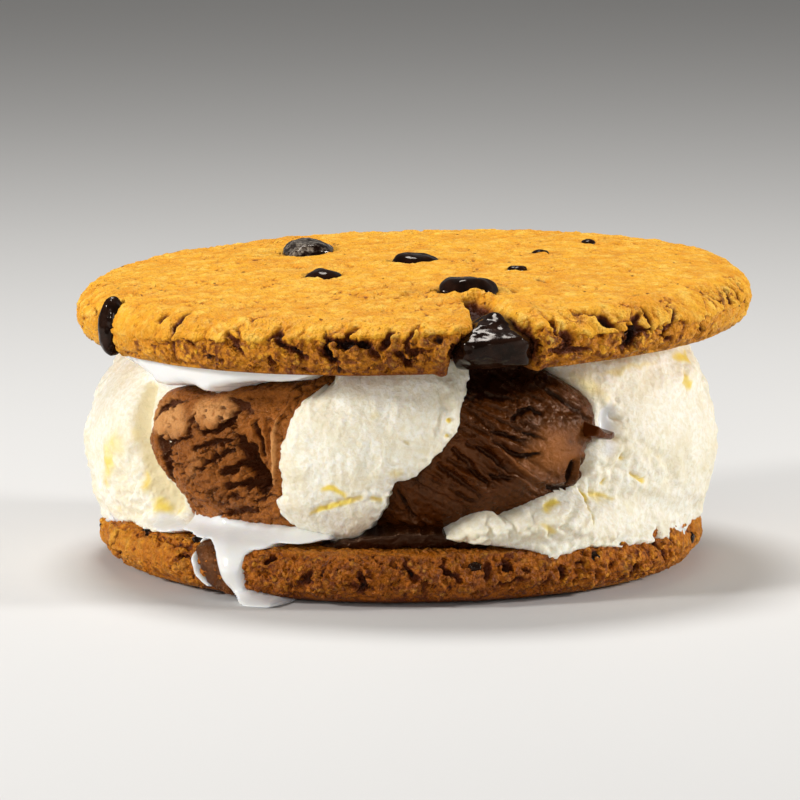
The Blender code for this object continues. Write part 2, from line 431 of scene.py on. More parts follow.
class Graph:
    """A node tree under construction, with a short method for each kind of step."""

    def __init__(self, tree: bpy.types.NodeTree) -> None:
        """Take the tree to build in."""
        self.tree = tree

    def feed(self, node: bpy.types.Node, feeds: dict) -> None:
        """Link or set a node's inputs, by their names or numbers.

        Args:
            node: Whose inputs.
            feeds: A value or a link for each input.
        """
        for name, value in feeds.items():
            if isinstance(value, Socket):
                self.tree.links.new(value, node.inputs[name])
            else:
                node.inputs[name].default_value = value

    def add(self, kind: str, feeds: dict | None = None, **settings: object) -> bpy.types.Node:
        """Add a node.

        Args:
            kind: The node's type.
            feeds: A value or a link for each input, by its name or number.
            settings: The node's own options.

        Returns:
            The node.
        """
        node = self.tree.nodes.new(kind)
        for name, value in settings.items():
            setattr(node, name, value)
        self.feed(node, feeds or {})
        return node

    def math(self, operation: str, first: Feed, second: Feed = 0.0, clamp: bool = False) -> Socket:
        """Work out one number from two."""
        node = self.add("ShaderNodeMath", {0: first, 1: second}, operation=operation, use_clamp=clamp)
        return node.outputs[0]

    def plus(self, *terms: Feed) -> Socket:
        """Add numbers up."""
        return reduce(lambda result, term: self.math("ADD", result, term), terms)

    def minus(self, first: Feed, second: Feed) -> Socket:
        """Take one number from another."""
        return self.math("SUBTRACT", first, second)

    def times(self, *terms: Feed) -> Socket:
        """Multiply numbers."""
        return reduce(lambda result, term: self.math("MULTIPLY", result, term), terms)

    def left(self, share: Feed) -> Socket:
        """Give what a share leaves of 1, and never less than 0."""
        return self.math("SUBTRACT", 1.0, share, clamp=True)

    def scaled(self, vector: Feed, factor: Feed) -> Socket:
        """Lengthen a vector."""
        node = self.add("ShaderNodeVectorMath", {0: vector, "Scale": factor}, operation="SCALE")
        return node.outputs[0]

    def moved(self, vector: Feed, other: Feed) -> Socket:
        """Add two vectors."""
        node = self.add("ShaderNodeVectorMath", {0: vector, 1: other}, operation="ADD")
        return node.outputs[0]

    def spread(self, value: Feed, low: Feed, high: Feed, first: float = 0.0, last: float = 1.0) -> Socket:
        """Turn the range from low to high into the range from first to last, smoothly.

        Args:
            value: What is in the first range.
            low: Where the first range starts.
            high: Where the first range ends.
            first: Where the second range starts.
            last: Where the second range ends.

        Returns:
            The number in the second range.
        """
        node = self.add(
            "ShaderNodeMapRange",
            {"Value": value, "From Min": low, "From Max": high, "To Min": first, "To Max": last},
            interpolation_type="SMOOTHSTEP",
        )
        return node.outputs[0]

    def over(self, size: Feed) -> Feed:
        """Give 1 over a size."""
        return 1.0 / size if isinstance(size, float) else self.math("DIVIDE", 1.0, size)

    def noise(self, place: Feed, size: Feed, detail: float = 3.0, rough: float = 0.55) -> bpy.types.Node:
        """Add noise whose hills are about size apart, in metres.

        Args:
            place: Where to read it.
            size: How far apart.
            detail: How many finer noises.
            rough: How strong they are.

        Returns:
            The noise's node.
        """
        return self.add(
            "ShaderNodeTexNoise",
            {"Vector": place, "Scale": self.over(size), "Detail": detail, "Roughness": rough},
        )

    def cells(self, place: Feed, size: Feed, feature: str = "F1") -> bpy.types.Node:
        """Add cells about size across, in metres."""
        feeds = {"Vector": place, "Scale": self.over(size)}
        return self.add("ShaderNodeTexVoronoi", feeds, feature=feature)

    def chosen(self, cells: bpy.types.Node, channel: int = 0) -> Socket:
        """Give a number drawn for each cell."""
        return self.add("ShaderNodeSeparateXYZ", {0: cells.outputs["Color"]}).outputs[channel]

    def stirred(self, place: Feed, size: float, reach: Feed) -> Socket:
        """Move places about with noise."""
        stir = self.noise(place, size, 3.0).outputs[1]
        return self.moved(place, self.scaled(self.moved(stir, (-0.5, -0.5, -0.5)), reach))

    def blend(self, factor: Feed, first: Feed, second: Feed) -> Socket:
        """Mix two colours."""
        node = self.add("ShaderNodeMix", {0: factor, 6: first, 7: second}, data_type="RGBA")
        return node.outputs[2]

    def stained(self, colour: Feed, *layers: tuple) -> Socket:
        """Stain a colour with layers.

        Args:
            colour: What lies under them.
            layers: For each its tint, a value that chooses its places, the values at which it
                starts and is full, and its strength.

        Returns:
            The colour with all layers on it.
        """
        for tint, value, low, high, strength in layers:
            colour = self.blend(self.spread(value, low, high, 0.0, strength), colour, tint)
        return colour


class Relief:
    """A Geometry Nodes tree that moves a mesh's points along their normals."""

    def __init__(self, name: str) -> None:
        """Start the tree with its geometry input.

        Args:
            name: What it is called.
        """
        self.group = bpy.data.node_groups.new(name, "GeometryNodeTree")
        self.graph = Graph(self.group)
        self.group.interface.new_socket("Geometry", in_out="OUTPUT", socket_type="NodeSocketGeometry")
        self.inputs = self.graph.add("NodeGroupInput")
        self.values: dict[str, object] = {}
        self.offer("Geometry", "NodeSocketGeometry")

    def offer(self, name: str, kind: str = "NodeSocketFloat", value: object = None) -> Socket:
        """Add a named input, and give its socket inside the tree.

        Args:
            name: What it is called.
            kind: Of socket.
            value: What it is set to.

        Returns:
            The socket.
        """
        made = self.group.interface.new_socket(name, in_out="INPUT", socket_type=kind)
        if value is not None:
            self.values[made.identifier] = value
        return self.inputs.outputs[name]

    def read(self, mark: Mark) -> Socket:
        """Read a mark of the mesh.

        Args:
            mark: Which mark.

        Returns:
            The number on each point.
        """
        feeds = {"Name": mark.value}
        node = self.graph.add("GeometryNodeInputNamedAttribute", feeds, data_type="FLOAT")
        return node.outputs["Attribute"]

    def store(self, geometry: Feed, mark: Mark, value: Feed) -> Socket:
        """Keep a number on each point as a mark.

        Args:
            geometry: The mesh.
            mark: Which mark.
            value: The number on each point.

        Returns:
            The mesh with the mark.
        """
        node = self.graph.add(
            "GeometryNodeStoreNamedAttribute",
            {"Geometry": geometry, "Name": mark.value, "Value": value},
            data_type="FLOAT", domain="POINT",
        )
        return node.outputs[0]

    def lift(self, geometry: Feed, height: Feed) -> Socket:
        """Move the points along their normals.

        Args:
            geometry: The mesh.
            height: How far, in metres.

        Returns:
            The moved mesh.
        """
        normal = self.graph.add("GeometryNodeInputNormal").outputs[0]
        node = self.graph.add(
            "GeometryNodeSetPosition",
            {"Geometry": geometry, "Offset": self.graph.scaled(normal, height)},
        )
        return node.outputs[0]

    def close(self, geometry: Feed) -> None:
        """End the tree: the instances are made real and the material is set.

        Args:
            geometry: The mesh.
        """
        material = self.offer("Material", "NodeSocketMaterial")
        real = self.graph.add("GeometryNodeRealizeInstances", {"Geometry": geometry})
        feeds = {"Geometry": real.outputs[0], "Material": material}
        coated = self.graph.add("GeometryNodeSetMaterial", feeds)
        self.graph.add("NodeGroupOutput", {"Geometry": coated.outputs[0]})

    def apply(self, piece: bpy.types.Object, material: bpy.types.Material) -> bpy.types.Object:
        """Run the tree on a piece and keep the result as its plain mesh.

        Args:
            piece: The object to change.
            material: What the result is made of.

        Returns:
            The same object, with no modifier left on it.
        """
        modifier = piece.modifiers.new(self.group.name, "NODES")
        modifier.node_group = self.group
        for item in self.group.interface.items_tree:
            if item.item_type == "SOCKET" and item.in_out == "INPUT" and item.name == "Material":
                modifier[item.identifier] = material
        for identifier, value in self.values.items():
            modifier[identifier] = value
        bpy.context.view_layer.update()
        evaluated = piece.evaluated_get(bpy.context.evaluated_depsgraph_get())
        mesh = bpy.data.meshes.new_from_object(evaluated)
        piece.modifiers.remove(modifier)
        old = piece.data
        piece.data = mesh
        bpy.data.meshes.remove(old)
        mesh.name = piece.name
        mesh.shade_smooth()
        return piece


# ---------------------------------------------------------------- finishes


@dataclass(frozen=True)
class Finish:
    """What all finishes share."""

    name: str

    def start(self) -> tuple[bpy.types.Material, Graph, Socket]:
        """Make a material.

        Returns:
            The material, its graph, and the place on the piece in metres.
        """
        made = bpy.data.materials.new(self.name)
        made.use_nodes = True
        graph = Graph(made.node_tree)
        return made, graph, graph.add("ShaderNodeTexCoord").outputs["Object"]

    def read(self, graph: Graph, *marks: Mark) -> list[Socket]:
        """Read marks of the mesh."""
        kind = "ShaderNodeAttribute"
        return [graph.add(kind, attribute_name=mark.value).outputs["Fac"] for mark in marks]

    def bump(self, graph: Graph, height: Feed, depth: float) -> Socket:
        """Give the normals of fine relief of the given depth in metres."""
        feeds = {"Height": height, "Distance": depth, "Strength": 1.0}
        return graph.add("ShaderNodeBump", feeds).outputs[0]

    def shade(self, graph: Graph, feeds: dict[str, Feed]) -> None:
        """Feed the shader."""
        graph.feed(graph.tree.nodes["Principled BSDF"], feeds)


@dataclass(frozen=True)
class CookieFinish(Finish):
    """Baked cookie: golden smooth crust, browner and duller where it is broken."""

    crust: tuple = (0.82, 0.395, 0.020, 1.0)
    pale: tuple = (0.94, 0.585, 0.09, 1.0)
    amber: tuple = (0.66, 0.240, 0.006, 1.0)
    crumb: tuple = (0.60, 0.215, 0.012, 1.0)
    brown: tuple = (0.135, 0.026, 0.0015, 1.0)
    # Near black, for the painted shade in cracks and the lowest places.
    deep: tuple = (0.018, 0.0035, 0.0005, 1.0)

    def material(self) -> bpy.types.Material:
        """Build the finish.

        Returns:
            The material.
        """
        made, graph, place = self.start()
        rough, hollow, toast, relief = self.read(graph, Mark.ROUGH, Mark.HOLLOW, Mark.TOAST, Mark.RELIEF)
        patches = graph.noise(place, 0.0062, 5.0, 0.62).outputs[0]
        mottles = graph.noise(place, 0.0022, 4.0, 0.6).outputs[0]
        grains = graph.noise(place, 0.0007, 3.0, 0.6).outputs[0]
        granules = graph.cells(place, 0.00062).outputs[0]
        pore = graph.cells(place, 0.0019)
        wide = graph.spread(graph.chosen(pore, 1), 0.55, 1.0, 0.0, 0.16)
        sunk = graph.minus(wide, pore.outputs[0])
        crumbled = graph.cells(place, 0.00095)
        crust = graph.stained(
            self.crust,
            (self.pale, mottles, 0.42, 0.72, 1.0),
            (self.amber, patches, 0.54, 0.36, 0.55),
            (self.amber, grains, 0.54, 0.36, 0.35),
        )
        crumb = graph.stained(
            self.crumb,
            (self.crust, graph.chosen(crumbled), 0.3, 0.9, 1.0),
            (self.brown, mottles, 0.48, 0.34, 1.0),
            (self.brown, crumbled.outputs[0], 0.42, 0.72, 0.8),
        )
        # Toast is baked browning and, towards the front, painted shade.
        browning_and_shade = graph.plus(toast, graph.times(graph.minus(mottles, 0.5), 1.1))
        # Low relief is painted shade in amber, brown and deep, and high relief a painted highlight in pale;
        # the pores (sunk) and the hollows are painted shade in brown and deep.
        colour = graph.stained(
            crust,
            (crumb, rough, 0.15, 0.85, 1.0),
            (self.brown, browning_and_shade, 0.10, 0.95, 1.0),
            (self.amber, relief, 0.10, -0.30, 0.75),
            (self.brown, relief, -0.15, -0.60, 0.85),
            (self.deep, relief, -0.60, -1.20, 1.0),
            (self.pale, relief, 0.12, 0.50, 0.50),
            (self.brown, sunk, -0.03, 0.05, 0.85),
            (self.brown, hollow, 0.15, 0.8, 1.0),
            (self.deep, hollow, 0.5, 1.6, 1.0),
        )
        fine = graph.plus(
            graph.times(mottles, 1.1), graph.times(grains, 0.8),
            graph.times(crumbled.outputs[0], graph.times(rough, -0.7)),
            graph.times(granules, -0.42), graph.spread(sunk, -0.03, 0.05, 0.0, -0.8),
        )
        self.shade(graph, {
            "Base Color": colour, "Roughness": graph.spread(mottles, 0.3, 0.7, 0.62, 0.42),
            "Specular IOR Level": 0.22, "Normal": self.bump(graph, fine, 0.0007),
        })
        return made


@dataclass(frozen=True)
class IceFinish(Finish):
    """Ice cream of one flavour: matt where it is frozen, glossy where it melts."""

    body: tuple = (0.91, 0.885, 0.785, 1.0)
    melted: tuple = (0.79, 0.79, 0.775, 1.0)
    tinted: tuple = (0.84, 0.64, 0.11, 1.0)
    shaded: tuple = (0.72, 0.62, 0.38, 1.0)
    glow: float = 0.35
    glow_reach: float = 0.0022
    dry: float = 0.52
    glossy: float = 0.16
    grain: float = 0.0003
    shine: float = 0.35
    glint: tuple = (1.0, 1.0, 1.0, 1.0)  # colour of its reflections
    clouded: float = 0.45
    # Strength of the painted shade in the low places of the fine relief.
    pitted: float = 0.5
    deepest: float = 1.2  # depth of a furrow whose painted shade is as dark as it gets, in millimetres

    def material(self) -> bpy.types.Material:
        """Build the finish.

        Returns:
            The material.
        """
        made, graph, place = self.start()
        wet, tint, hollow, relief = self.read(graph, Mark.WET, Mark.TINT, Mark.HOLLOW, Mark.RELIEF)
        clouds = graph.noise(place, 0.0065, 4.0, 0.6).outputs[0]
        grains = graph.noise(place, 0.0008, 4.0, 0.7).outputs[0]
        stain = graph.plus(tint, graph.times(graph.minus(clouds, 0.5), 0.8))
        # The shaded colour is random cloudy tone where the clouds and grains pick it, and painted shade where
        # the low relief and the hollows pick it.
        colour = graph.stained(
            self.body,
            (self.shaded, clouds, 0.62, 0.30, self.clouded),
            (self.shaded, grains, 0.60, 0.38, self.clouded),
            (self.shaded, relief, -0.06, -0.40, self.pitted),
            (self.tinted, stain, 0.18, 0.95, 1.0),
            (self.shaded, hollow, 0.05, self.deepest, 1.0),
            (self.melted, wet, 0.3, 0.9, 1.0),
        )
        gloss = graph.spread(wet, 0.0, 1.0, self.dry, self.glossy)
        gloss = graph.math("ADD", gloss, graph.spread(grains, 0.3, 0.7, -0.10, 0.10), clamp=True)
        fine = graph.times(grains, graph.left(graph.times(wet, 0.9)))
        self.shade(graph, {
            "Base Color": colour, "Roughness": gloss, "Specular IOR Level": self.shine,
            "Specular Tint": self.glint, "Subsurface Weight": self.glow,
            "Subsurface Radius": (1.0, 0.75, 0.45), "Subsurface Scale": self.glow_reach,
            "Normal": self.bump(graph, fine, self.grain),
        })
        return made


@dataclass(frozen=True)
class ChocolateFinish(Finish):
    """Solid dark chocolate, glossy with a dusty bloom in places."""

    dark: tuple = (0.005, 0.0018, 0.0010, 1.0)
    warm: tuple = (0.017, 0.006, 0.003, 1.0)
    bloom: tuple = (0.30, 0.26, 0.21, 1.0)
    bloomed: float = 0.0

    def material(self) -> bpy.types.Material:
        """Build the finish.

        Returns:
            The material.
        """
        made, graph, place = self.start()
        patches = graph.noise(place, 0.0022, 4.0, 0.6).outputs[0]
        grains = graph.noise(place, 0.0005, 3.0).outputs[0]
        lumps = graph.noise(place, 0.0026, 1.5).outputs[0]
        dusty = graph.spread(graph.plus(patches, self.bloomed), 0.66, 0.92)
        dusty = graph.times(dusty, graph.spread(grains, 0.35, 0.6))
        colour = graph.stained(self.dark, (self.warm, patches, 0.35, 0.7, 1.0))
        self.shade(graph, {
            "Base Color": graph.blend(dusty, colour, self.bloom),
            "Roughness": graph.spread(patches, 0.3, 0.75, 0.10, 0.20),
            "Specular IOR Level": 0.17, "Specular Tint": (1.0, 0.86, 0.74, 1.0),
            "Normal": self.bump(graph, graph.plus(lumps, graph.times(grains, 0.04)), 0.0003),
        })
        return made


@dataclass(frozen=True)
class FloorFinish(Finish):
    """A plain pale studio floor."""

    pale: tuple = (0.66, 0.655, 0.645, 1.0)
    grey: tuple = (0.62, 0.615, 0.61, 1.0)

    def material(self) -> bpy.types.Material:
        """Build the finish.

        Returns:
            The material.
        """
        made, graph, place = self.start()
        clouds = graph.noise(place, 0.35, 3.0).outputs[0]
        colour = graph.blend(clouds, self.pale, self.grey)
        self.shade(graph, {"Base Color": colour, "Roughness": 0.7})
        return made


# ---------------------------------------------------------------- listed marks


@dataclass(frozen=True)
class Stroke:
    """A ridge or a furrow along a line, whose places are pairs on the surface."""

    line: Line
    width: float
    rise: float  # height of a ridge, or minus the depth of a furrow
    ragged: float = 0.35

    def lift(self, places: Array, wobble: Array, scale: tuple = (1.0, 1.0)) -> Array:
        """Give how far the stroke lifts each place.

        Args:
            places: Flat places, in millimetres.
            wobble: How far each place wanders, which makes the stroke ragged.
            scale: What takes the line's own numbers to millimetres.

        Returns:
            One height for each place.
        """
        line = np.array(self.line) * scale
        gap = line_distance(places + wobble * self.ragged, line)
        start, end = (np.hypot(*(places - tip).T) + 0.3 for tip in (line[0], line[-1]))
        taper = np.sqrt(4.0 * start * end) / (start + end)
        steepness = 2 if self.rise > 0 else 3
        width = self.width * (0.3 + 0.7 * taper)
        return self.rise * taper**0.5 * np.exp(-((gap / width) ** steepness))


@dataclass(frozen=True)
class Swell:
    """A smooth bulge or dent round one place on the surface."""

    at: tuple[float, float]
    reach: tuple[float, float]  # across and up
    rise: float

    def lift(self, places: Array, scale: tuple = (1.0, 1.0)) -> Array:
        """Give how far the swell lifts each place, as a stroke does."""
        away = (places - np.array(self.at) * scale) / np.array(self.reach)
        return self.rise * np.exp(-np.sum(away**2, axis=1))


def within(area: tuple, places: Array, scale: tuple) -> Array:
    """Give how far each place lies in an area, from 0 to 1."""
    return Swell(area[:2], area[2:], 1.0).lift(places, scale)


def lines(*rows: tuple) -> tuple[Stroke, ...]:
    """Make strokes of rows: a width, a rise, how ragged, and the places of the line."""
    return tuple(Stroke(row[3:], *row[:3]) for row in rows)


def mounds(*rows: tuple[float, ...]) -> tuple[Swell, ...]:
    """Make swells of rows: the place, the reach across and up, and the rise."""
    return tuple(Swell(row[:2], row[2:4], row[4]) for row in rows)


def wobbles(points: Array, size: float, seed: int) -> Array:
    """Give each point a small wander in two directions, of about one millimetre."""
    return np.stack([rough_noise(points, size, 2, seed + 10 * axis) for axis in range(2)], 1)


# ---------------------------------------------------------------- the cookies


@dataclass
class Lean:
    """How the top cookie lies: the place of its own origin, and its tilt in degrees."""

    middle: tuple[float, float, float] = (0.0, 0.0, 42.0)
    roll: float = 1.6
    pitch: float = 0.6

    def matrix(self) -> Array:
        """Give the turn as a matrix.

        Returns:
            Three rows of three numbers.
        """
        roll, pitch = math.radians(-self.roll), math.radians(self.pitch)
        about_y = np.array([
            [math.cos(roll), 0.0, math.sin(roll)], [0.0, 1.0, 0.0], [-math.sin(roll), 0.0, math.cos(roll)]
        ])
        about_x = np.array([
            [1.0, 0.0, 0.0], [0.0, math.cos(pitch), -math.sin(pitch)], [0.0, math.sin(pitch), math.cos(pitch)]
        ])
        return about_x @ about_y

    def laid(self, points: Array) -> Array:
        """Take points from the cookie's own frame to the sandwich's."""
        return points @ self.matrix().T + np.array(self.middle)

    def height_under(self, across: Array, deep: Array, below: float) -> Array:
        """Give the height of the level that lies below the cookie's middle plane.

        Args:
            across: Places along X.
            deep: Places along Y.
            below: How far under the middle plane.

        Returns:
            The heights.
        """
        normal = self.matrix()[:, 2]
        start = np.array(self.middle) - normal * below
        return start[2] - (normal[0] * (across - start[0]) + normal[1] * (deep - start[1])) / normal[2]


@dataclass
class FineRelief:
    """What the fine reliefs share. Their sizes are in millimetres, and each is an input."""

    def tree(self, name: str, seed: float) -> Relief:
        """Build the tree, which lifts what isn't calm and keeps how far as a mark.

        Args:
            name: What it is called.
            seed: Which of its random forms it takes.

        Returns:
            The finished tree.
        """
        relief = Relief(name)
        graph = relief.graph
        sizes = {}
        for size in fields(self):
            title = size.name.replace("_", " ").title()
            sizes[size.name] = relief.offer(title, value=getattr(self, size.name) * MM)
        shift = relief.offer("Seed", value=seed)
        offset = graph.add("ShaderNodeCombineXYZ", {0: shift, 1: shift, 2: shift}).outputs[0]
        place = graph.moved(graph.add("GeometryNodeInputPosition").outputs[0], offset)
        height = self.height(relief, place, sizes)
        height = graph.times(height, graph.left(relief.read(Mark.CALM)))
        geometry = relief.lift(relief.inputs.outputs["Geometry"], height)
        relief.close(relief.store(geometry, Mark.RELIEF, graph.math("DIVIDE", height, MM)))
        return relief

    def height(self, relief: Relief, place: Feed, sizes: dict[str, Feed]) -> Socket:
        """Give how high each place is lifted."""
        raise NotImplementedError

    def hills(self, graph: Graph, value: Feed, height: Feed) -> Socket:
        """Turn noise into hills and dales, as high as deep."""
        return graph.times(graph.minus(value, 0.5), height, 2.0)

    def pits(
        self, graph: Graph, place: Feed, size: Feed, depth: Feed, first: float, least: float
    ) -> Socket:
        """Sink round pits of many widths, from the least on, into those cells past the first.

        Args:
            graph: Where the nodes go.
            place: Places on the piece, in metres.
            size: In metres.
            depth: In metres.
            first: The draw from which a cell has a pit.
            least: Radius of the smallest.

        Returns:
            The depths.
        """
        pit = graph.cells(place, size)
        wide = graph.spread(graph.chosen(pit), first, 1.0, least, 0.22)
        return graph.times(graph.spread(pit.outputs[0], 0.0, wide, 1.0, 0.0), depth)

    def seams(
        self, graph: Graph, place: Feed, size: Feed, depth: Feed, width: tuple, where: Feed
    ) -> Socket:
        """Sink seams between cells, with a width at the top and at the bottom."""
        edge = graph.cells(place, size, "DISTANCE_TO_EDGE").outputs[0]
        return graph.times(graph.spread(edge, *width), depth, where)


@dataclass
class CookieRelief(FineRelief):
    """A cookie's fine relief: lumps and crumbs where it is broken, a pored skin elsewhere."""

    lump_size: float = 1.9
    lump_height: float = 0.80
    crumb_size: float = 0.75
    crumb_height: float = 0.34
    cavity_size: float = 2.6
    cavity_depth: float = 0.80
    skin_size: float = 2.3
    skin_height: float = 0.80
    pore_size: float = 2.1
    pore_depth: float = 0.60
    crackle_size: float = 3.4
    crackle_depth: float = 0.55
    warp: float = 0.9

    def height(self, relief: Relief, place: Feed, sizes: dict[str, Feed]) -> Socket:
        """Give how high each place is lifted.

        Args:
            relief: The tree under construction.
            place: Places on the piece, in metres.
            sizes: The inputs that give the sizes, by name.

        Returns:
            The heights in metres.
        """
        graph = relief.graph
        stirred = graph.stirred(place, 0.0017, sizes["warp"])
        lumps = graph.cells(stirred, sizes["lump_size"]).outputs[0]
        lumps = graph.times(graph.minus(0.42, lumps), sizes["lump_height"])
        crumbs = graph.cells(stirred, sizes["crumb_size"]).outputs[0]
        crumbs = graph.times(graph.minus(0.42, crumbs), sizes["crumb_height"])
        torn = graph.noise(stirred, sizes["cavity_size"], 4.0, 0.6).outputs[0]
        cavity = graph.times(graph.spread(torn, 0.57, 0.66), sizes["cavity_depth"])
        broken = graph.minus(graph.plus(lumps, crumbs), cavity)
        broken = graph.times(broken, relief.read(Mark.ROUGH))
        skin = graph.noise(place, sizes["skin_size"], 5.0, 0.65).outputs[0]
        skin = self.hills(graph, skin, sizes["skin_height"])
        dip = self.pits(graph, stirred, sizes["pore_size"], sizes["pore_depth"], 0.40, 0.02)
        where = graph.spread(graph.noise(place, 0.0075, 3.0).outputs[0], 0.50, 0.62)
        crackle = self.seams(
            graph, stirred, sizes["crackle_size"], sizes["crackle_depth"], (0.10, 0.02), where
        )
        return graph.minus(graph.plus(broken, skin), graph.plus(dip, crackle))


@dataclass
class Crumbs:
    """Loose crumbs that cling to a cookie's broken side."""

    per_square_cm: float = 42.0
    smallest: float = 0.16
    largest: float = 0.62
    seed: int = 3

    def tree(self, name: str) -> Relief:
        """Build the tree that strews round blobs over rough places and pushes them out of round.

        Args:
            name: What it is called.

        Returns:
            The finished tree.
        """
        relief = Relief(name)
        graph = relief.graph
        least = relief.offer("Smallest Radius", value=self.smallest * MM)
        most = relief.offer("Largest Radius", value=self.largest * MM)
        density = relief.offer("Density", value=self.per_square_cm * 1e4)
        seed = relief.offer("Seed", "NodeSocketInt", self.seed)
        wanted = graph.times(
            graph.spread(relief.read(Mark.ROUGH), 0.35, 0.9),
            graph.spread(relief.read(Mark.HOLLOW), 0.6, 0.1),
            graph.spread(relief.read(Mark.RELIEF), -0.2, 0.1), density,
        )
        strewn = graph.add(
            "GeometryNodeDistributePointsOnFaces",
            {"Mesh": relief.inputs.outputs["Geometry"], "Density": wanted, "Seed": seed},
        )
        cube = graph.add("GeometryNodeMeshCube", {
            "Size": (2.0, 2.0, 2.0), "Vertices X": 3, "Vertices Y": 3, "Vertices Z": 3,
        })
        place = graph.add("GeometryNodeInputPosition").outputs[0]
        way = graph.add("ShaderNodeVectorMath", {0: place}, operation="NORMALIZE").outputs[0]
        ball = graph.add("GeometryNodeSetPosition", {"Geometry": cube.outputs[0], "Position": way})
        draw = graph.add("FunctionNodeRandomValue", {"Seed": seed}, data_type="FLOAT").outputs[1]
        size = graph.times(graph.math("POWER", draw, 2.6), graph.minus(most, least))
        size = graph.plus(size, least)
        spin, squash = (
            graph.add(
                "FunctionNodeRandomValue", {0: low, 1: high, "Seed": seed}, data_type="FLOAT_VECTOR"
            ).outputs[0]
            for low, high in (
                ((0.0, 0.0, 0.0), (6.28, 6.28, 6.28)), ((0.65, 0.75, 0.55), (1.25, 1.2, 1.0)),
            )
        )
        placed = graph.add("GeometryNodeInstanceOnPoints", {
            "Points": strewn.outputs[0], "Instance": ball.outputs[0], "Rotation": spin,
            "Scale": graph.scaled(squash, size),
        })
        real = graph.add("GeometryNodeRealizeInstances", {"Geometry": placed.outputs[0]})
        stir = graph.noise(place, 0.0005, 1.0).outputs[1]
        stir = graph.scaled(graph.moved(stir, (-0.5, -0.5, -0.5)), 0.00055)
        uneven = graph.add("GeometryNodeSetPosition", {"Geometry": real.outputs[0], "Offset": stir})
        relief.close(uneven.outputs[0])
        return relief


def azimuth_of(points: Array, middle: float = 0.0) -> Array:
    """Give the azimuth of each point about a middle along X, in degrees."""
    return np.degrees(np.arctan2(points[:, 0] - middle, -points[:, 1]))


def round_the_rim(azimuth: Array, knots: Line) -> Array:
    """Give a value that changes with the azimuth, from pairs of an azimuth and a value."""
    turns, values = zip(*knots)
    return np.interp(azimuth, turns, values, period=360.0)


def random_cracks(count: int, span: Line, length: float, seed: int) -> list[Stroke]:
    """Draw crooked cracks at random places.

    Args:
        count: How many.
        span: The least and the greatest azimuth, and the least and the greatest height.
        length: Of one run of a crack, in millimetres.
        seed: Which drawing.

    Returns:
        Furrows whose places are an azimuth and a height.
    """
    random = np.random.default_rng(seed)
    made = []
    for _ in range(count):
        at = np.array([random.uniform(*span[0]), random.uniform(*span[1])])
        line = [tuple(at)]
        turn = random.uniform(0.2, 2.9)
        for _ in range(random.integers(2, 5)):
            turn += random.normal(0.0, 0.5)
            at = at + length * np.array([math.cos(turn) * 1.05, math.sin(turn)])
            line.append(tuple(at))
        width = random.uniform(0.25, 0.6)
        made.append(Stroke(tuple(line), width, -random.uniform(0.5, 1.4), 0.5))
    return made


